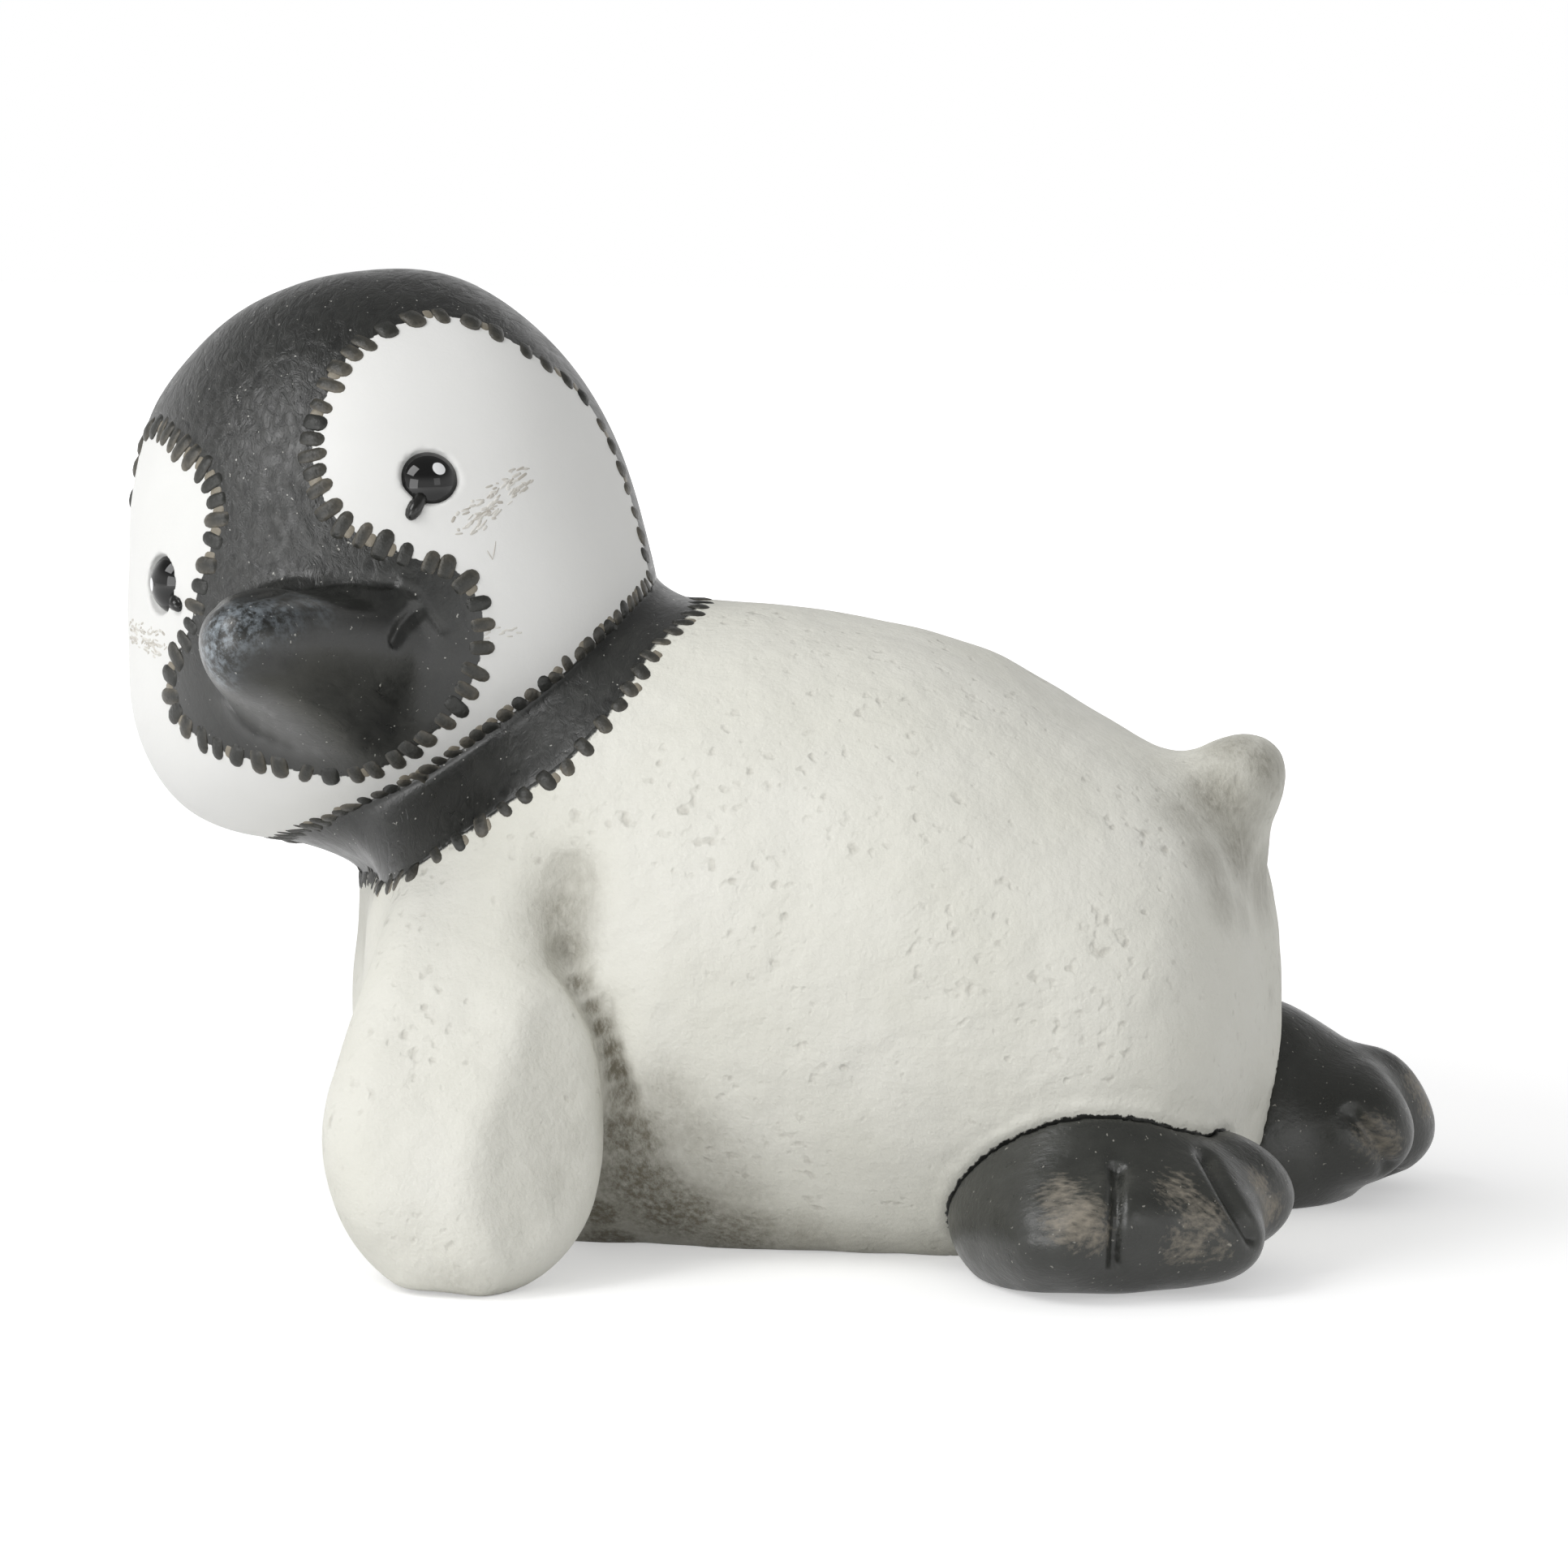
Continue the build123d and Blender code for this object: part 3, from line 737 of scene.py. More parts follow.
# %% [markdown]
# ## Where the paint goes
# The black cap, mask and back are one field, and the white of the cheeks and chin is the other. Their
# border is a table of places on the head, as longitude and latitude round the head's own centre. Each
# vertex keeps its distance to that border in millimetres, so the shader can draw a crisp edge however
# coarse the mesh is.

# %% Face border
FACE_BORDER = [
    (100, -80), (101, -60), (100, -40), (99, -22), (99, -8), (96, 6), (90, 17), (76, 25), (65, 33), (53, 38),
    (39, 36), (26, 30), (18, 21), (13, 12), (12, 2), (14, -8), (20, -14), (28, -20), (36, -24), (40, -31),
    (39, -39), (33, -47), (23, -53), (5, -57), (-10, -55), (-22, -47), (-35, -37), (-42, -28), (-39, -21),
    (-29, -17), (-23, -11), (-17, -4), (-13, 4), (-14, 13), (-21, 22), (-33, 33), (-46, 38), (-60, 35),
    (-75, 25), (-90, 16), (-97, 2), (-100, -22), (-101, -60), (-100, -80),
]
BORDER_STEPS = 10
FACE_RADIUS = 49.0


def smooth_line(points, steps):
    """Points along a curve that passes through a table of points."""
    table = np.array(points, float)
    ends = np.vstack([2 * table[0] - table[1], table, 2 * table[-1] - table[-2]])
    line = []
    for a, b, c, d in zip(ends, ends[1:], ends[2:], ends[3:]):
        for t in np.linspace(0, 1, steps, endpoint=False):
            line.append(0.5 * (2 * b + (c - a) * t + (2 * a - 5 * b + 4 * c - d) * t**2
                               + (3 * b - a - 3 * c + d) * t**3))
    line.append(table[-1])
    return np.array(line)


def on_ball(angles):
    """Unit directions from longitude and latitude in degrees."""
    lon, lat = np.radians(np.asarray(angles, float)).T
    return np.stack([np.cos(lat) * np.cos(lon), np.cos(lat) * np.sin(lon), np.sin(lat)], 1)


def inside(line, lon, lat):
    """Which places lie inside the line, closed under the chin, counted by crossings."""
    odd = np.zeros(len(lon), bool)
    ring = np.vstack([line, [(line[-1][0], -90), (line[0][0], -90)]])
    for (x0, y0), (x1, y1) in zip(ring, np.roll(ring, -1, 0)):
        if y0 == y1:
            continue
        across = (lat >= min(y0, y1)) & (lat < max(y0, y1))
        odd ^= across & (lon < x0 + (lat - y0) * (x1 - x0) / (y1 - y0))
    return odd


border_line = smooth_line(FACE_BORDER, BORDER_STEPS)
border_ways = on_ball(border_line)


def white_depth(places):
    """Distance in mm into the white field of the face, negative in the black one."""
    local = in_head(places)
    ways = local / np.linalg.norm(local, axis=1)[:, None]
    lon = np.degrees(np.arctan2(ways[:, 1], ways[:, 0]))
    lat = np.degrees(np.arcsin(np.clip(ways[:, 2], -1, 1)))
    gap = np.full(len(ways), np.inf)
    for way in border_ways:
        gap = np.minimum(gap, np.linalg.norm(ways - way, axis=1))
    return np.where(inside(border_line, lon, lat), 1, -1) * gap * FACE_RADIUS


face_white = white_depth(coords(head.data))
print("border points:", len(border_line))

# %% [markdown]
# The collar is a black band round the neck. Its two edges wander, so each is a table of heights above the
# neck joint by degrees round from the throat, the same on both sides.

# %% Collar edges
COLLAR_UPPER = [
    (0, 15.5), (38, 14.5), (59, 11.0), (80, 6.8), (106, 4.4), (124, 3.0), (148, 2.4), (171, 1.8), (180, 1.8),
]
COLLAR_LOWER = [
    (0, -1.0), (36, -1.8), (76, -4.5), (91, -6.3), (110, -8.8), (125, -7.7), (143, -5.2), (163, -6.4),
    (180, -6.8),
]


def collar_edge(table, turned):
    """Height of a collar edge at some degrees from the throat."""
    return np.interp(turned, *zip(*table))


def above_edge(places, table):
    """Height of each place above a collar edge, in mm."""
    across, front, up = np.array([neck_across, neck_front, neck_up]) @ (places - np.array(NECK_PLACE)).T
    turned = np.degrees(np.arctan2(front, across)) - 90
    return up / mm - collar_edge(table, np.abs((turned + 180) % 360 - 180))


head_above = above_edge(coords(head.data), COLLAR_UPPER)
body_above = above_edge(coords(body.data), COLLAR_LOWER)
head_white = np.minimum(face_white, head_above)
print("white share of the head:", round(float((head_white > 0).mean()), 2))

# %% [markdown]
# A thin brown wash was wiped over the white and stayed in the hollows: behind the flippers, along the belly
# and round the tail. In the armpits, along the creases and facets behind the flippers, under the belly and
# in every hollow of the skin the same darkening is painted shade as well. Dry-brushing did the opposite and
# caught the high places: toes and beak tip. Each is a list of places in the photograph with a reach in mm
# and a strength. The side that is not seen gets the mirror image of the near one.

# %% Wash, painted shade and dry-brush places
# In the armpits, along the creases and on the facets behind the flippers these spots are mostly painted
# shade, with some wash
ARMPIT_SHADE_AND_WASH = [
    (706, 1090, 8, 0.46), (694, 1125, 9, 0.6), (700, 1165, 8, 0.62), (714, 1212, 4, 0.78),
    (730, 1242, 3, 0.84), (741, 1265, 3.2, 0.95), (752, 1292, 3.5, 1.0), (760, 1318, 4, 1.0),
    (768, 1350, 6, 0.8), (775, 1400, 12, 0.78), (820, 1350, 9, 0.45), (845, 1400, 12, 0.5),
    (738, 1495, 7, 1.0), (752, 1528, 8, 1.0), (702, 1400, 9, 0.22), (690, 1460, 9, 0.22),
]
# Under the belly these spots are wash and painted shade together
BELLY_SHADE_AND_WASH = [
    (790, 1460, 14, 0.85), (830, 1495, 16, 0.85), (900, 1520, 16, 0.75), (980, 1532, 15, 0.55),
    (1060, 1540, 13, 0.4), (870, 1440, 15, 0.45), (890, 1470, 13, 0.5), (1150, 1545, 12, 0.3),
    (560, 1590, 8, 0.3), (470, 1588, 9, 0.2),
]
TAIL_WASH = [
    (1478, 945, 8, 0.35), (1520, 918, 9, 0.55), (1560, 942, 9, 0.6), (1500, 985, 11, 0.6),
    (1538, 1000, 9, 0.45), (1525, 1045, 11, 0.6), (1550, 1090, 10, 0.5), (1465, 1010, 9, 0.45),
    (1490, 1060, 9, 0.5), (1505, 1105, 8, 0.45), (1440, 950, 7, 0.25), (1530, 1120, 7, 0.35),
]
TOE_BRUSH = [
    (1308, 1472, 6, 0.8), (1325, 1500, 7, 1.0), (1350, 1520, 5, 0.8), (1452, 1468, 6, 0.7),
    (1482, 1500, 6, 0.75), (1462, 1535, 6, 0.7), (1505, 1540, 4, 0.5), (1552, 1462, 5, 0.85),
    (1564, 1490, 5, 0.85),
]
FAR_TOE_BRUSH = [(1692, 1398, 6, 0.7), (1708, 1412, 5, 0.8), (1745, 1335, 6, 0.7), (1757, 1360, 5, 0.7)]
BEAK_TIP_BRUSH = [
    (272, 775, 6, 1.0), (258, 800, 6, 1.0), (300, 762, 6, 0.75), (340, 752, 6, 0.45), (262, 828, 5, 0.8),
    (385, 744, 5, 0.3),
]
SPOT_CORE, SPOT_RIM = 0.1, 1.5
HOLLOW_ROUNDS, HOLLOW_STEP = 30, 0.6
HOLLOW_GAIN, HOLLOW_MOST = 1.2, 0.4


def spot_strength(piece, spots, sides=(1,)):
    """Strongest of some spots at each vertex, each fading out over its reach."""
    tree = surface_tree(piece)
    places = coords(piece.data)
    strength = np.zeros(len(places))
    for u, v, reach_mm, level in spots:
        place = seen_at(tree, u, v)
        if place is None:
            print("no skin at", u, v)
            continue
        for side in sides:
            gap = np.linalg.norm(places - np.array(place) * np.array((1, side, 1)), axis=1) / mm
            fade = 1 - soft_step(gap, SPOT_CORE * reach_mm, SPOT_RIM * reach_mm)
            strength = np.maximum(strength, level * fade)
    return strength


mean_of = neighbour_mean(body.data)
settled = coords(body.data)
for _ in range(HOLLOW_ROUNDS):
    settled = settled + HOLLOW_STEP * (mean_of(settled) - settled)
# The depth of each vertex in a hollow darkens it as well, which is painted shade along with the wash
hollow = ((settled - coords(body.data)) * normals(body.data)).sum(1) / mm
wiped_wash_and_shade = spot_strength(body, ARMPIT_SHADE_AND_WASH + BELLY_SHADE_AND_WASH + TAIL_WASH, BOTH_SIDES)
wash_and_shade = np.maximum(wiped_wash_and_shade, np.clip(hollow * HOLLOW_GAIN, 0, HOLLOW_MOST))
print("wash covers", round(float((wash_and_shade > 0.4).mean()), 3), "of the body")

# %% [markdown]
# A material can't search a mesh, so these distances and strengths are kept on the vertices, where a node
# reads them by name. The place in the head's frame is kept too: the brush strokes follow the head and not
# the room.

# %% Keep the paint numbers on the skins
BRUSHED_LEAST = 0.15
BRUSHED_FADE = (-26, -10)
WHITE_MOST = 20


def store(mesh, name, values):
    """Keep a number or a vector per vertex for a material to read."""
    values = np.ascontiguousarray(values, np.float32)
    kind, field = ("FLOAT", "value") if values.ndim == 1 else ("FLOAT_VECTOR", "vector")
    mesh.attributes.new(name, kind, "POINT").data.foreach_set(field, values.ravel())


brushed = BRUSHED_LEAST + (1 - BRUSHED_LEAST) * soft_step(in_head(coords(head.data))[:, 2], *BRUSHED_FADE)
store(head.data, "white_mm", head_white)
store(head.data, "brushed", brushed)
store(head.data, "tip_dust", spot_strength(head, BEAK_TIP_BRUSH))
store(body.data, "white_mm", np.minimum(-body_above, WHITE_MOST))
store(body.data, "foot_mm", foot_gap)
store(body.data, "wash_and_shade", wash_and_shade)
for foot, brush in ((left_foot, TOE_BRUSH), (right_foot, FAR_TOE_BRUSH)):
    store(foot.data, "dry_brush", spot_strength(foot, brush))
store(head.data, "head_mm", in_head(coords(head.data)))
print("kept on the head:", [a.name for a in head.data.attributes if a.domain == "POINT"])

# %% [markdown]
# ## Feather tufts
# The borders of the paint are sculpted as rows of small tongues, dark with dry-brushed edges. They could be
# bump only, but from the side they stand clear of the face, so each one is a little closed mesh whose spine
# lies on the skin below it.

# %% One tuft
# How far along each ring stands, and its share of the width and of the height
TONGUE_RINGS = (
    (0.0, 0.8, 0.15), (0.22, 0.95, 0.7), (0.5, 1.0, 1.0), (0.75, 0.96, 0.95), (0.91, 0.7, 0.7),
    (0.98, 0.34, 0.4),
)
RING_POINTS = 7
SUNK, SUNK_SHARE, TIP_SUNK = 0.15 * mm, 0.2, 0.1 * mm
ALL_BEIGE = 1.6
dice = random.Random(20)


def add_tongue(shape, tree, start, way, length, width, height, tint):
    """Add a closed tongue that lies on a skin, sizes in metres."""
    layers = shape.verts.layers.float
    tint_layer, rim_layer = [layers.get(name) or layers.new(name) for name in ("tint", "rim")]
    rings = []
    for along, wide, high in TONGUE_RINGS:
        place, normal, _, _ = tree.find_nearest(start + way * length * along)
        across = normal.cross(way).normalized()
        ring = []
        for k in range(RING_POINTS):
            a = math.pi * k / (RING_POINTS - 1)
            rise = math.sin(a) * height * high - min(SUNK, SUNK_SHARE * height)
            vert = shape.verts.new(place + across * (math.cos(a) * wide * width / 2) + normal * rise)
            vert[tint_layer] = tint
            vert[rim_layer] = max(abs(math.cos(a)) ** 2, along**3)
            ring.append(vert)
        rings.append(ring)
    place, normal, _, _ = tree.find_nearest(start + way * length)
    tip = shape.verts.new(place - normal * TIP_SUNK)
    tip[tint_layer] = tint
    tip[rim_layer] = 1.0
    next_points = [*range(1, RING_POINTS), 0]
    for low, high in zip(rings, rings[1:]):
        for k, after in enumerate(next_points):
            shape.faces.new((low[k], low[after], high[after], high[k]))
    shape.faces.new(list(reversed(rings[0])))
    for k, after in enumerate(next_points):
        shape.faces.new((rings[-1][k], rings[-1][after], tip))


def finish_piece(name, shape):
    """Turn a collected shape into a smooth piece with its faces looking out."""
    bmesh.ops.recalc_face_normals(shape, faces=shape.faces)
    mesh = bpy.data.meshes.new(name)
    shape.to_mesh(mesh)
    shape.free()
    mesh.shade_smooth()
    print(name, "faces", len(mesh.polygons))
    return put_in_scene(name, mesh)


def in_plane(way, normal):
    """A direction laid flat on a skin."""
    return (way - normal * way.dot(normal)).normalized()


def swing(way, normal, degrees):
    """A direction turned on a skin."""
    return Matrix.Rotation(math.radians(degrees), 3, normal) @ way


print("rings in a tuft:", len(TONGUE_RINGS))

# %% [markdown]
# The face's tufts stand along the border in a walk with uneven steps, and each leans a little its own way.
# Round the top of the white they are broader and further apart. Here and there a small beige one lies
# between.

# %% Tufts along the face border
FIRST_TUFT = 2.0
# Spacing, length and width in mm of the broad tufts round the top, and of the others
BROAD_TUFT, PLAIN_TUFT = (5.0, 5.2, 3.8), (3.5, 5.5, 3.1)
STEP_SPREAD, LENGTH_SPREAD, WIDTH_SPREAD = (0.85, 1.2), (0.85, 1.18), (0.8, 1.2)
LEAN_MOST = 14
BROAD_LON, BROAD_LAT = 36, 2
NAPE_LON, NAPE_LAT = 80, -52
TUFT_RISE = 0.25
SMALL_TUFT = (2.7 * mm, 1.9 * mm, 0.22 * mm)
SMALL_TUFT_BACK = 1.6 * mm
SMALL_TUFT_SHARE = 0.3
RAY_START = 90
LOOK_AHEAD = 2 * mm
head_tree = surface_tree(head)
face_shape = bmesh.new()
points, flats = [], []
for way in border_ways:
    far_point = head_frame @ (Vector(way) * RAY_START * mm)
    place, normal, _, _ = head_tree.ray_cast(far_point, (HEAD_PLACE - far_point).normalized())
    points.append(place)
    flats.append(normal)
walked = 0.0
next_at = FIRST_TUFT
for i in range(1, len(points) - 1):
    here, flat = points[i], flats[i]
    walked += (here - points[i - 1]).length / mm
    lon, lat = border_line[i]
    if walked < next_at or lat < NAPE_LAT and abs(lon) > NAPE_LON:
        continue
    spacing, long, wide = BROAD_TUFT if abs(lon) > BROAD_LON and lat > BROAD_LAT else PLAIN_TUFT
    next_at = walked + spacing * dice.uniform(*STEP_SPREAD)
    along = in_plane(points[i + 1] - points[i - 1], flat)
    inward = flat.cross(along)
    if white_depth(np.array([here + inward * LOOK_AHEAD]))[0] < 0:
        inward = -inward
    inward = swing(inward, flat, dice.uniform(-LEAN_MOST, LEAN_MOST))
    length = long * dice.uniform(*LENGTH_SPREAD) * mm
    width = wide * dice.uniform(*WIDTH_SPREAD) * mm
    tint = dice.random()
    start = here - inward * length * 0.5
    add_tongue(face_shape, head_tree, start, inward, length, width, width * TUFT_RISE, tint)
    if dice.random() < SMALL_TUFT_SHARE:
        beside = here + along * spacing * 0.5 * mm - inward * SMALL_TUFT_BACK
        add_tongue(face_shape, head_tree, beside, inward, *SMALL_TUFT, ALL_BEIGE)
face_tufts = finish_piece("face_tufts", face_shape)

# %% [markdown]
# The collar is a smooth band that bridges the crease of the neck joint, as filler and paint do. Each
# cross-section is a soft curve that leaves the head and meets the body along their own slopes. It is closed
# behind by two points inside the neck, and the skins that it covers are sunk so that none shows through.

# %% Collar band
BAND_SECTIONS = 200
BAND_STEPS = 12
BAND_FULL = 0.55
BAND_ROUNDS = 4
SLOPE_STEP = 2
BAND_BACK = 2.5 * mm
BAND_BRUSHED, BAND_BLACK = 0.35, -6.0
COVER_SUNK = 2.8
COVER_FADE = (0.4, 3.0)
crease_tree = surface_tree(head, body)


def on_neck(tree, turned, side, up_mm):
    """Where a ray in toward the neck's axis meets a skin, and its normal; side 1 is the near one."""
    a = math.radians(90 + side * turned)
    out = neck_across * math.cos(a) + neck_front * math.sin(a)
    start = NECK_PLACE + neck_up * up_mm * mm + out * RAY_START * mm
    return tree.ray_cast(start, -out)[:2]


def band_section(k):
    """One cross-section of the band: a soft curve from the head to the body, and a way back inside."""
    signed = 360 * k / BAND_SECTIONS - 180
    turned, side = abs(signed), 1 if signed >= 0 else -1
    upper = float(collar_edge(COLLAR_UPPER, turned))
    lower = float(collar_edge(COLLAR_LOWER, turned))
    heights = (upper + SLOPE_STEP, upper, lower, lower - SLOPE_STEP)
    over, top, foot, under = [on_neck(crease_tree, turned, side, up)[0] for up in heights]
    reach = (foot - top).length * BAND_FULL
    top_lead = (top - over).normalized() * reach
    foot_lead = (under - foot).normalized() * reach
    points = []
    for step in range(BAND_STEPS + 1):
        t = step / BAND_STEPS
        points.append(top * (2 * t**3 - 3 * t**2 + 1) + foot * (3 * t**2 - 2 * t**3)
                      + top_lead * (t**3 - 2 * t**2 + t) + foot_lead * (t**3 - t**2))
    inward = (NECK_PLACE - (top + foot) / 2).normalized() * BAND_BACK
    return points + [foot + inward, top + inward]


sections = np.array([band_section(k) for k in range(BAND_SECTIONS)])
for _ in range(BAND_ROUNDS):
    sections = 0.5 * sections + 0.25 * (np.roll(sections, 1, 0) + np.roll(sections, -1, 0))
band_shape = bmesh.new()
rings = [[band_shape.verts.new(point) for point in section] for section in sections]
for ring, after_ring in zip(rings, rings[1:] + rings[:1]):
    for j in range(len(ring)):
        after = (j + 1) % len(ring)
        band_shape.faces.new((ring[j], ring[after], after_ring[after], after_ring[j]))
collar_band = finish_piece("collar_band", band_shape)
band_size = len(collar_band.data.vertices)
for name, level in (("white_mm", BAND_BLACK), ("tip_dust", 0.0), ("brushed", BAND_BRUSHED)):
    store(collar_band.data, name, np.full(band_size, level))
store(collar_band.data, "head_mm", in_head(coords(collar_band.data)))
for piece, covered in ((head, -head_above), (body, body_above)):
    push_out(piece.data, -COVER_SUNK * soft_step(covered, *COVER_FADE))

# %% [markdown]
# The band carries a row of tufts on each edge: the upper one lies over the cheek, the lower one over the
# body. At the throat the painter ended it in fine brush hairs, which are the same tongues drawn long and
# thin.

# %% Tufts along the collar
HAIRS_TO = 46
NECK_RADIUS = 46
FIRST_TURN, LAST_TURN = 3.0, 179
HAIR_STEP, UPPER_STEP, LOWER_STEP = 1.3, 3.1, 4.1
COLLAR_STEP_SPREAD = (0.8, 1.25)
# An upper tuft is left out where the face is not white this far above the edge
WHITE_ABOVE, WHITE_LEAST = 2.5 * mm, 1.0
# Swing either way and lean in degrees, least and most length and width in mm, and the share behind the edge
BRUSH_HAIR = (24, 18, (3.5, 6.5), (0.7, 1.3), 0.5)
COLLAR_TUFT = (18, 12, (3.6, 5.2), (2.2, 3.3), 0.45)
HAIR_RISE, HAIR_TINT = 0.3 * mm, 0.2
COLLAR_TUFT_RISE = 0.22
SMALL_COLLAR_TUFT = (2.4 * mm, 2.0 * mm, 0.25 * mm)
SMALL_COLLAR_ASIDE = 1.6 * mm
SMALL_COLLAR_SHARE = 0.4
whole_tree = surface_tree(head, body, collar_band)
collar_shape = bmesh.new()


def collar_tuft(place, normal, way, hair, lean):
    """A brush hair, or a tuft that now and then has a small beige one beside it."""
    most_swing, most_lean, lengths, widths, behind = BRUSH_HAIR if hair else COLLAR_TUFT
    way = swing(way, normal, dice.uniform(-most_swing, most_swing) + most_lean * lean)
    length, width = dice.uniform(*lengths) * mm, dice.uniform(*widths) * mm
    height = HAIR_RISE if hair else width * COLLAR_TUFT_RISE
    tint = dice.random() * (HAIR_TINT if hair else 1)
    add_tongue(collar_shape, whole_tree, place - way * length * behind, way, length, width, height, tint)
    if not hair and dice.random() < SMALL_COLLAR_SHARE:
        beside = place + neck_up.cross(normal) * SMALL_COLLAR_ASIDE
        add_tongue(collar_shape, whole_tree, beside, way, *SMALL_COLLAR_TUFT, ALL_BEIGE)


for side in BOTH_SIDES:
    for table, upward, tuft_step in ((COLLAR_UPPER, 1, UPPER_STEP), (COLLAR_LOWER, -1, LOWER_STEP)):
        turned_at = FIRST_TURN
        while turned_at < LAST_TURN:
            hair = turned_at < HAIRS_TO
            place, normal = on_neck(whole_tree, turned_at, side, float(collar_edge(table, turned_at)))
            step_mm = HAIR_STEP if hair else tuft_step
            turned_at += math.degrees(step_mm / NECK_RADIUS) * dice.uniform(*COLLAR_STEP_SPREAD)
            if place is None:
                continue
            way = in_plane(neck_up * upward, normal)
            if upward > 0 and white_depth(np.array([place + way * WHITE_ABOVE]))[0] < WHITE_LEAST:
                continue
            collar_tuft(place, normal, way, hair, side * upward)
collar_tufts = finish_piece("collar_tufts", collar_shape)

# %% [markdown]
# Small hand-painted marks come next: the drop of black at the inner corner of each eye, and the grey-brown
# brush strokes on the cheek behind it. They are raised by the thickness of the paint.

# %% Tear drops and cheek strokes
STROKE_COUNT, LOW_STROKE_COUNT = 84, 12
STROKE_START, STROKE_RUN, STROKE_SPREAD = (643, 585), (-72, 66), 14
# Least and most length and drop of a stroke in pixels, and its width and height in mm
STROKE_LENGTH, STROKE_DROP, STROKE_WIDTH, STROKE_RISE = (4, 12), (-2, 8), (0.3, 0.7), 0.12
STROKE_LIFT, STROKE_LEAST_TINT = 2, 0.2
LOW_STROKE_U, LOW_STROKE_V, LOW_STROKE_DROP = (598, 640), (772, 786), (0, 5)
LOW_STROKE_HALF, LOW_STROKE_WIDTH, LOW_STROKE_TINT = 4, 0.4, 0.9
# Start and end pixel, width and height in mm
TEAR_MARKS = (((526, 600), (504, 641), 2.9, 1.9), ((520, 610), (503, 640), 2.8, 1.1))
TICK_STARTS, TICK_END = ((600, 678), (611, 666)), (607, 690)
# Width and height in mm, and tint
TICK_PAINT = (0.22, 0.16, 0.4)


def mark_between(shape, start_pixel, end_pixel, width_mm, height_mm, tint, mirror=False):
    """A painted mark on the head between two pixels, with its mirror image if asked for."""
    ends = [seen_at(head_tree, *pixel) for pixel in (start_pixel, end_pixel)]
    pairs = [ends, [HEAD_MIRROR @ end for end in ends]] if mirror else [ends]
    for first, last in pairs:
        run = last - first
        add_tongue(shape, head_tree, first, run.normalized(), run.length, width_mm * mm, height_mm * mm, tint)


drop_shape = bmesh.new()
for tear_mark in TEAR_MARKS:
    mark_between(drop_shape, *tear_mark, 0.0, True)
tear_drops = finish_piece("tear_drops", drop_shape)

stroke_shape = bmesh.new()
for _ in range(STROKE_COUNT):
    share = dice.random()
    u = STROKE_START[0] + STROKE_RUN[0] * share + dice.uniform(-STROKE_SPREAD, STROKE_SPREAD)
    v = STROKE_START[1] + STROKE_RUN[1] * share + dice.uniform(-STROKE_SPREAD, STROKE_SPREAD)
    half = dice.uniform(*STROKE_LENGTH) / 2
    start, end = (u + half, v - STROKE_LIFT), (u - half, v + dice.uniform(*STROKE_DROP))
    width = dice.uniform(*STROKE_WIDTH)
    tint = STROKE_LEAST_TINT + (1 - STROKE_LEAST_TINT) * dice.random()
    mark_between(stroke_shape, start, end, width, STROKE_RISE, tint, True)
for _ in range(LOW_STROKE_COUNT):
    u, v = dice.uniform(*LOW_STROKE_U), dice.uniform(*LOW_STROKE_V)
    start, end = (u + LOW_STROKE_HALF, v), (u - LOW_STROKE_HALF, v + dice.uniform(*LOW_STROKE_DROP))
    mark_between(stroke_shape, start, end, LOW_STROKE_WIDTH, STROKE_RISE, LOW_STROKE_TINT)
for tick_start in TICK_STARTS:
    mark_between(stroke_shape, tick_start, TICK_END, *TICK_PAINT)
cheek_strokes = finish_piece("cheek_strokes", stroke_shape)

# %% [markdown]
# ## Materials
# The white is a matt water-based paint over the cast stone, thin enough to leave every pit and lump of the
# casting. The wash sits in it as a broken brown-grey film, which in the hollows, the creases and under the
# belly is painted shade as well. Pits are about 1.5 to 3 mm across, the grain of the filler about 0.8 mm.
# The eye gets a chalky surface with soft shading and no highlight.

# %% White matt paint over cast stone
CLOUD, PATCH, LUMP, PIT, FLECK, GRAIN = 30, 22, 7, 2.4, 1.3, 0.8


def edge_mask(tree, distance, wobble, amount_mm, soft_mm):
    """1 on the positive side of a distance, with a hand-painted wobble."""
    shaken = add_node(tree, "Math", {**MULTIPLY_ADD, 0: wobble, 1: amount_mm, 2: -amount_mm / 2})
    total = add_node(tree, "Math", {**ADD, 0: distance, 1: shaken})
    return add_node(tree, "MapRange", {"Value": total, "From Min": -soft_mm, "From Max": soft_mm})


white_paint, tree, shader = new_material("white_matt_paint_over_cast_stone")
spot = add_node(tree, "TexCoord", output="Object")
cloud, patch, lump, grain = [
    add_node(tree, "TexNoise", {"Vector": spot, "Scale": per_metre(size), "Detail": detail})
    for size, detail in ((CLOUD, 3), (PATCH, 2), (LUMP, 2), (GRAIN, 3))
]
wash_and_shade_kept, collar_kept, foot_kept = [
    add_node(tree, "Attribute", {"attribute_name": name}, "Fac") for name in ("wash_and_shade", "white_mm", "foot_mm")
]

# Pits lie in patches: elsewhere a lift of the noise spares the skin
pit_noise = add_node(tree, "TexNoise", {
    "Vector": spot, "Scale": per_metre(PIT), "Detail": 1.5, "Roughness": 0.4,
})
spared = add_node(tree, "MapRange", {
    "Value": patch, "From Min": 0.42, "From Max": 0.62, "To Min": 0.16, "To Max": 0.0,
})
pit_patchy = add_node(tree, "Math", {**ADD, 0: pit_noise, 1: spared})
pit = add_node(tree, "MapRange", {**SMOOTH, "Value": pit_patchy, "From Min": 0.16, "From Max": 0.46})
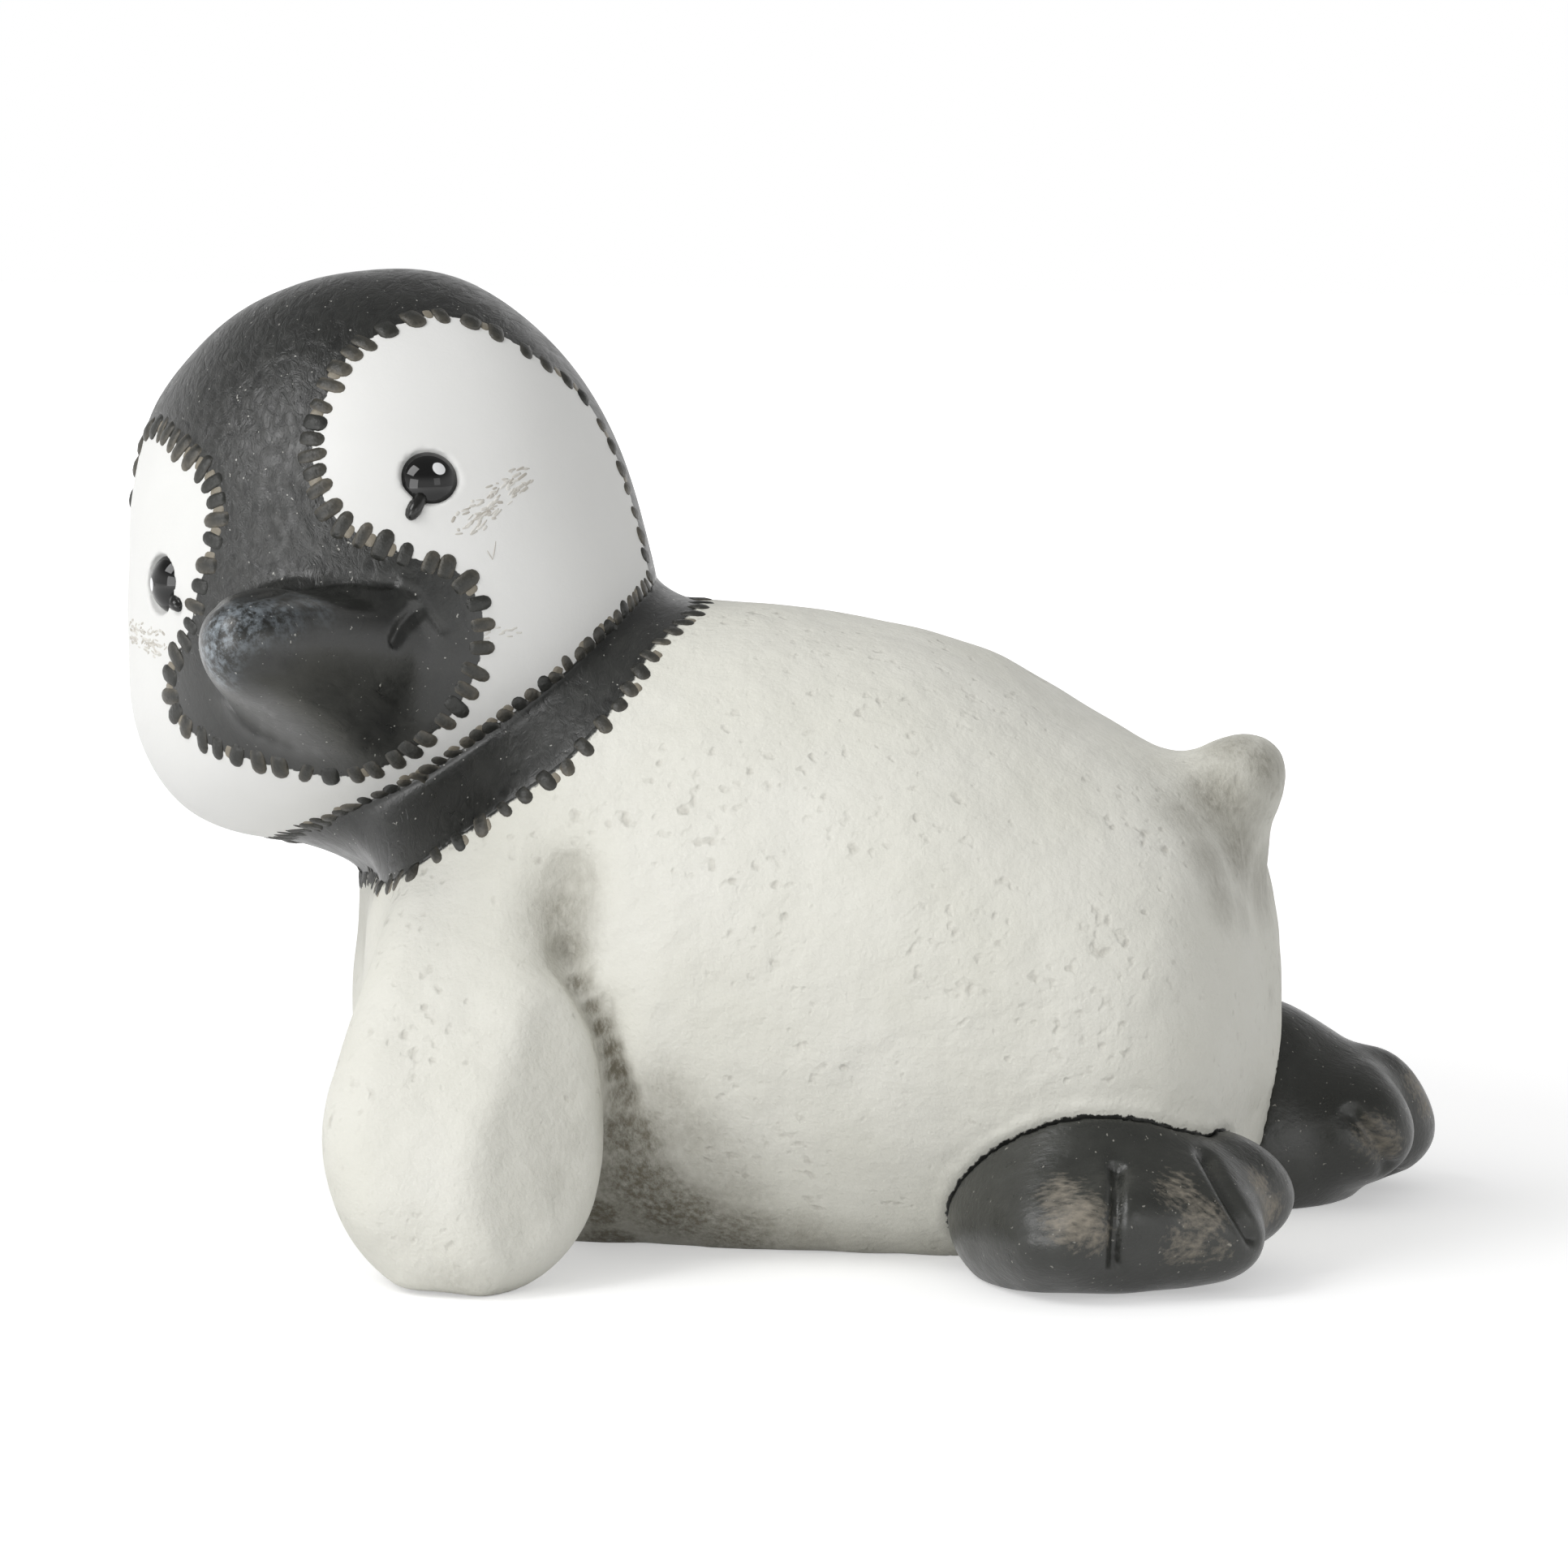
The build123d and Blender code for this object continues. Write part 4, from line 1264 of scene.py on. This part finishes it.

# The wash, with the painted shade it carries, breaks up into flecks that run with the wiping cloth,
# more so where it is thick
wiping = add_node(tree, "Mapping", {"Vector": spot, "Rotation": (0, 0.6, 0), "Scale": (1, 1, 0.5)})
fleck = add_node(tree, "TexNoise", {
    "Vector": wiping, "Scale": per_metre(FLECK), "Detail": 5, "Roughness": 0.7,
})
wash_and_shade_more = add_node(tree, "MapRange", {"Value": wash_and_shade_kept, "From Min": 0.5, "From Max": 0.9, "To Min": 0.18})
broken = add_node(tree, "Math", {**MULTIPLY_ADD, 0: fleck, 1: 2.2, 2: -1.1})
broken = add_node(tree, "Math", {**MULTIPLY, 0: broken, 1: wash_and_shade_more})
wash_and_shade_total = add_node(tree, "Math", {**ADD, 0: wash_and_shade_kept, 1: broken})
wash_and_shade_mask = add_node(tree, "MapRange", {**SMOOTH, "Value": wash_and_shade_total, "From Max": 1.15, "To Max": 0.95})

# Black paint takes over under the collar and close to the feet
collar_mask = edge_mask(tree, collar_kept, fleck, 1.6, 0.2)
foot_edge = add_node(tree, "Math", {"operation": "SUBTRACT", 0: foot_kept, 1: 0.75})
foot_mask = edge_mask(tree, foot_edge, fleck, 1.4, 0.1)
is_white = add_node(tree, "Math", {**MULTIPLY, 0: collar_mask, 1: foot_mask})

base = add_node(tree, "Mix", {**RGBA, SHARE: cloud, FIRST: paint("#E9E8E1"), LAST: paint("#DAD9CD")}, MIXED)
pitted = add_node(tree, "Mix", {**RGBA, SHARE: pit, FIRST: paint("#CFCDC3"), LAST: base}, MIXED)
# The brown-grey wash colour, which in the hollows, creases and under the belly is also painted shade
brown_wash_and_shade = add_node(tree, "Mix", {**RGBA, SHARE: wash_and_shade_mask, FIRST: pitted, LAST: paint("#6E6857")}, MIXED)
dark = add_node(tree, "Mix", {**RGBA, SHARE: lump, FIRST: paint("#20211F"), LAST: paint("#30312E")}, MIXED)
colour = add_node(tree, "Mix", {**RGBA, SHARE: is_white, FIRST: dark, LAST: brown_wash_and_shade}, MIXED)

dull = add_node(tree, "MapRange", {"Value": is_white, "To Min": 0.45, "To Max": 0.66})
uneven = add_node(tree, "Math", {**MULTIPLY_ADD, 0: fleck, 1: 0.2, 2: -0.1})
roughness = add_node(tree, "Math", {**ADD, 0: dull, 1: uneven})
crust = add_node(tree, "Math", {**MULTIPLY, 0: fleck, 1: wash_and_shade_kept})
height = 0.0
for layer, share in ((lump, 0.55), (pit, 0.22), (grain, 0.10), (crust, -0.5)):
    height = add_node(tree, "Math", {**MULTIPLY_ADD, 0: layer, 1: share, 2: height})
bump = add_node(tree, "Bump", {"Height": height, "Strength": 0.9, "Distance": 1.8 * mm})
feed(shader, {"Base Color": colour, "Roughness": roughness, "Normal": bump})
body.data.materials.append(white_paint)
print("made", white_paint.name)

# %% [markdown]
# The head has the same white, laid on smoother, and a soft black that was brushed on in short strokes. Its
# wrinkles run fore and aft over the crown, 2 to 6 mm apart, and give the dull sheen in the photograph. A
# few pale specks of dust lie on it, and the beak's tip is dry-brushed with a cold grey-white.

# %% Face paint
# The place in the head's frame is kept in mm, so these scales are one over a size in mm
STROKES = (0.16, 0.45, 0.3)
FINE, DUST, FACE_CLOUD, TIP_CLOUD = 1.3, 1.15, 0.05, 0.55
face_paint, tree, shader = new_material("brushed_face_paint_over_cast_stone")
place_kept = add_node(tree, "Attribute", {"attribute_name": "head_mm"}, "Vector")
white_kept, tip_kept, brushed_kept = [
    add_node(tree, "Attribute", {"attribute_name": name}, "Fac")
    for name in ("white_mm", "tip_dust", "brushed")
]
fine, cloud, speck = [
    add_node(tree, "TexNoise", {"Vector": place_kept, "Scale": scale, "Detail": detail})
    for scale, detail in ((FINE, 3), (FACE_CLOUD, 3), (DUST, 1))
]
spread = add_node(tree, "Mapping", {"Vector": place_kept, "Scale": STROKES})
wrinkle = add_node(tree, "TexNoise", {
    "Vector": spread, "Scale": 1.0, "Detail": 5, "Roughness": 0.62, "Distortion": 0.8,
})
tip_cloud = add_node(tree, "TexNoise", {
    "Vector": place_kept, "Scale": TIP_CLOUD, "Detail": 6, "Roughness": 0.7,
})
is_white = edge_mask(tree, white_kept, fine, 0.5, 0.12)
is_black = add_node(tree, "Math", {"operation": "SUBTRACT", 0: 1.0, 1: is_white})
dust = add_node(tree, "MapRange", {"Value": speck, "From Min": 0.74, "From Max": 0.78})
stroke = add_node(tree, "MapRange", {"Value": wrinkle, "From Min": 0.35, "From Max": 0.7})
tip_broken = add_node(tree, "MapRange", {"Value": tip_cloud, "From Min": 0.42, "From Max": 0.62})
tip_seen = add_node(tree, "Math", {**MULTIPLY, 0: tip_broken, 1: tip_kept})

white = add_node(tree, "Mix", {**RGBA, SHARE: cloud, FIRST: paint("#EFEFED"), LAST: paint("#E7E7E4")}, MIXED)
black = add_node(tree, "Mix", {**RGBA, SHARE: stroke, FIRST: paint("#191A18"), LAST: paint("#282926")}, MIXED)
dusty = add_node(tree, "Mix", {**RGBA, SHARE: dust, FIRST: black, LAST: paint("#A9A8A2")}, MIXED)
tipped = add_node(tree, "Mix", {**RGBA, SHARE: tip_seen, FIRST: dusty, LAST: paint("#8E979E")}, MIXED)
colour = add_node(tree, "Mix", {**RGBA, SHARE: is_white, FIRST: tipped, LAST: white}, MIXED)

sheen = add_node(tree, "MapRange", {
    "Value": wrinkle, "From Min": 0.3, "From Max": 0.7, "To Min": 0.26, "To Max": 0.4,
})
roughness = add_node(tree, "Mix", {
    "data_type": "FLOAT", SHARE: is_white, FIRST_NUMBER: sheen, LAST_NUMBER: 0.55,
})
height = add_node(tree, "Math", {**MULTIPLY, 0: wrinkle, 1: is_black})
height = add_node(tree, "Math", {**MULTIPLY, 0: height, 1: brushed_kept})
for layer, share in ((fine, 0.06), (is_white, -0.12)):
    height = add_node(tree, "Math", {**MULTIPLY_ADD, 0: layer, 1: share, 2: height})
bump = add_node(tree, "Bump", {"Height": height, "Strength": 0.8, "Distance": 0.6 * mm})
feed(shader, {"Base Color": colour, "Roughness": roughness, "Normal": bump, "Specular IOR Level": 0.68})
for piece in (head, collar_band):
    piece.data.materials.append(face_paint)
print("made", face_paint.name)

# %% [markdown]
# The feet are a satin black over the smooth casting, with the beige of a nearly dry brush dragged over the
# toes. The brush leaves fine lines, so its mask is a noise stretched along one way.

# %% Satin black with dry-brushed toes
FOOT_LUMP, FOOT_DUST = 5, 0.9
BRUSH_HAIRS = (2.4, 0.7, 1.1)
foot_paint, tree, shader = new_material("satin_black_paint_over_cast_stone")
spot = add_node(tree, "TexCoord", output="Object")
dry_kept = add_node(tree, "Attribute", {"attribute_name": "dry_brush"}, "Fac")
lump, speck = [
    add_node(tree, "TexNoise", {"Vector": spot, "Scale": per_metre(size), "Detail": detail})
    for size, detail in ((FOOT_LUMP, 4), (FOOT_DUST, 1))
]
combed = add_node(tree, "Mapping", {
    "Vector": spot, "Rotation": (0.4, 0.5, 0.3), "Scale": [per_metre(size) for size in BRUSH_HAIRS],
})
hairs = add_node(tree, "TexNoise", {"Vector": combed, "Scale": 1.0, "Detail": 4, "Roughness": 0.6})
dust = add_node(tree, "MapRange", {"Value": speck, "From Min": 0.73, "From Max": 0.77})
dragged = add_node(tree, "Math", {**MULTIPLY_ADD, 0: hairs, 1: 1.6, 2: -1.1})
dragged = add_node(tree, "Math", {**ADD, 0: dragged, 1: dry_kept})
dry_mask = add_node(tree, "MapRange", {"Value": dragged, "From Min": 0.1, "From Max": 0.8, "To Max": 0.85})
black = add_node(tree, "Mix", {**RGBA, SHARE: lump, FIRST: paint("#2B2C29"), LAST: paint("#3B3C38")}, MIXED)
dusty = add_node(tree, "Mix", {**RGBA, SHARE: dust, FIRST: black, LAST: paint("#8E8C85")}, MIXED)
colour = add_node(tree, "Mix", {**RGBA, SHARE: dry_mask, FIRST: dusty, LAST: paint("#938B7D")}, MIXED)
satin = add_node(tree, "MapRange", {
    "Value": lump, "From Min": 0.3, "From Max": 0.7, "To Min": 0.25, "To Max": 0.4,
})
roughness = add_node(tree, "Math", {**MULTIPLY_ADD, 0: dry_mask, 1: 0.3, 2: satin})
height = add_node(tree, "Math", {**MULTIPLY_ADD, 0: hairs, 1: 0.35, 2: lump})
bump = add_node(tree, "Bump", {"Height": height, "Strength": 0.4, "Distance": 0.7 * mm})
feed(shader, {"Base Color": colour, "Roughness": roughness, "Normal": bump, "Specular IOR Level": 0.55})
for foot in (left_foot, right_foot):
    foot.data.materials.append(foot_paint)
print("made", foot_paint.name)

# %% [markdown]
# The tufts are the same black, with a beige-grey brush dragged over their rims. Each one keeps its own
# number, so that some stay dark and some are nearly all beige.

# %% Tuft paint
TUFT_GRAIN = 0.9
tuft_paint, tree, shader = new_material("dry_brushed_tuft_paint")
spot = add_node(tree, "TexCoord", output="Object")
tint_kept, rim_kept = [
    add_node(tree, "Attribute", {"attribute_name": name}, "Fac") for name in ("tint", "rim")
]
grain = add_node(tree, "TexNoise", {"Vector": spot, "Scale": per_metre(TUFT_GRAIN), "Detail": 3})
beige = add_node(tree, "Math", {**MULTIPLY, 0: tint_kept, 1: rim_kept})
for factor in (grain, 1.2):
    beige = add_node(tree, "Math", {**MULTIPLY, 0: beige, 1: factor})
whole = add_node(tree, "MapRange", {"Value": tint_kept, "From Min": 1.0, "From Max": 1.5})
beige = add_node(tree, "Math", {**ADD, "use_clamp": True, 0: beige, 1: whole})
colour = add_node(tree, "Mix", {**RGBA, SHARE: beige, FIRST: paint("#272825"), LAST: paint("#857E70")}, MIXED)
roughness = add_node(tree, "MapRange", {"Value": grain, "To Min": 0.3, "To Max": 0.55})
bump = add_node(tree, "Bump", {"Height": grain, "Strength": 0.5, "Distance": 0.4 * mm})
feed(shader, {"Base Color": colour, "Roughness": roughness, "Normal": bump, "Specular IOR Level": 0.5})
for piece in (face_tufts, collar_tufts):
    piece.data.materials.append(tuft_paint)
print("made", tuft_paint.name)

# %% [markdown]
# The last finishes are one noise each. Thin grey-brown brush paint lets the white through and dries matt.
# Black enamel is thick and dries to a gloss with a faint ripple. The plug under the belly is soft grey
# rubber, moulded with a slightly mottled skin.

# %% Brush paint, enamel and rubber
stroke_paint, tree, shader = new_material("thin_grey_brown_brush_paint")
spot = add_node(tree, "TexCoord", output="Object")
tint_kept = add_node(tree, "Attribute", {"attribute_name": "tint"}, "Fac")
thin = add_node(tree, "TexNoise", {"Vector": spot, "Scale": per_metre(1.0), "Detail": 3})
faded = add_node(tree, "Math", {**MULTIPLY_ADD, 0: thin, 1: 0.6, 2: tint_kept})
faded = add_node(tree, "MapRange", {"Value": faded, "From Min": 0.2, "From Max": 1.3})
colour = add_node(tree, "Mix", {**RGBA, SHARE: faded, FIRST: paint("#A8A196"), LAST: paint("#E2E0DA")}, MIXED)
roughness = add_node(tree, "MapRange", {"Value": thin, "To Min": 0.5, "To Max": 0.7})
bump = add_node(tree, "Bump", {"Height": thin, "Strength": 0.3, "Distance": 0.2 * mm})
feed(shader, {"Base Color": colour, "Roughness": roughness, "Normal": bump})
cheek_strokes.data.materials.append(stroke_paint)


def mottled(name, size_mm, detail, colours, roughness_range, strength, depth_mm):
    """Material whose colour, roughness and bump follow one noise."""
    material, tree, shader = new_material(name)
    spot = add_node(tree, "TexCoord", output="Object")
    mottle = add_node(tree, "TexNoise", {"Vector": spot, "Scale": per_metre(size_mm), "Detail": detail})
    first, second = [paint(hex_code) for hex_code in colours]
    colour = add_node(tree, "Mix", {**RGBA, SHARE: mottle, FIRST: first, LAST: second}, MIXED)
    least, most = roughness_range
    roughness = add_node(tree, "MapRange", {"Value": mottle, "To Min": least, "To Max": most})
    bump = add_node(tree, "Bump", {"Height": mottle, "Strength": strength, "Distance": depth_mm * mm})
    feed(shader, {"Base Color": colour, "Roughness": roughness, "Normal": bump})
    return material


enamel = mottled("gloss_black_enamel", 1.2, 2, ("#121212", "#262624"), (0.12, 0.3), 0.2, 0.2)
rubber = mottled("moulded_grey_rubber", 1.5, 4, ("#D6D4CC", "#BDBAB0"), (0.6, 0.85), 0.3, 0.3)
tear_drops.data.materials.append(enamel)
print("made", stroke_paint.name, enamel.name, rubber.name)

# %% [markdown]
# The eyes are black glass domes with a round white dot in their colour. The dot is drawn by its distance
# from the pixel it covers in the photograph, and its mirror image on the far eye. Glass is smooth, so it
# shows the room sharply.

# %% Glass eyes
EYE_DOT = (541, 577)
DOT_RADIUS, DOT_SOFT = 1.4 * mm, 0.05 * mm
DOT_WOBBLE = 0.2 * mm
eye_glass, tree, shader = new_material("black_glass_dome_with_white_dot")
dot_place = seen_at(surface_tree(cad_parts["left_eye"]), *EYE_DOT)
spot = add_node(tree, "TexCoord", output="Object")
near_gap, far_gap = [
    add_node(tree, "VectorMath", {"operation": "DISTANCE", 0: spot, 1: place}, "Value")
    for place in (dot_place, HEAD_MIRROR @ dot_place)
]
gap = add_node(tree, "Math", {"operation": "MINIMUM", 0: near_gap, 1: far_gap})
wobble = add_node(tree, "TexNoise", {"Vector": spot, "Scale": per_metre(1.5), "Detail": 1})
shaken = add_node(tree, "Math", {**MULTIPLY_ADD, 0: wobble, 1: DOT_WOBBLE, 2: gap})
dot = add_node(tree, "MapRange", {
    "Value": shaken, "From Min": DOT_RADIUS + DOT_SOFT, "From Max": DOT_RADIUS - DOT_SOFT,
})
colour = add_node(tree, "Mix", {**RGBA, SHARE: dot, FIRST: paint("#0D0D0D"), LAST: paint("#E9EAEB")}, MIXED)
roughness = add_node(tree, "MapRange", {"Value": dot, "To Min": 0.05, "To Max": 0.3})
bump = add_node(tree, "Bump", {"Height": wobble, "Strength": 0.08, "Distance": 0.1 * mm})
feed(shader, {"Base Color": colour, "Roughness": roughness, "Normal": bump, "IOR": 1.5})
for node, material in (("left_eye", eye_glass), ("right_eye", eye_glass), ("base_plug", rubber)):
    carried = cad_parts[node]
    carried.data.materials.clear()
    carried.data.materials.append(material)
print("made", eye_glass.name)

# %% [markdown]
# The figure has no moving part, so every piece rides on the root, and the CAD pieces that a skin stands
# for are hidden.

# %% Ride on the root
for piece, slot, nodes in (
    (body, "white_casting", white_nodes),
    (head, "head_casting", ("head_shell", "beak")),
    (left_foot, "black_casting", ("left_foot",)),
    (right_foot, "black_casting", ("right_foot",)),
    (collar_band, "black_casting", ()),
    (face_tufts, "black_casting", ()),
    (collar_tufts, "black_casting", ()),
    (tear_drops, "black_casting", ()),
    (cheek_strokes, "white_casting", ()),
):
    if nodes:
        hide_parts(*nodes)
    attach(piece, "root")
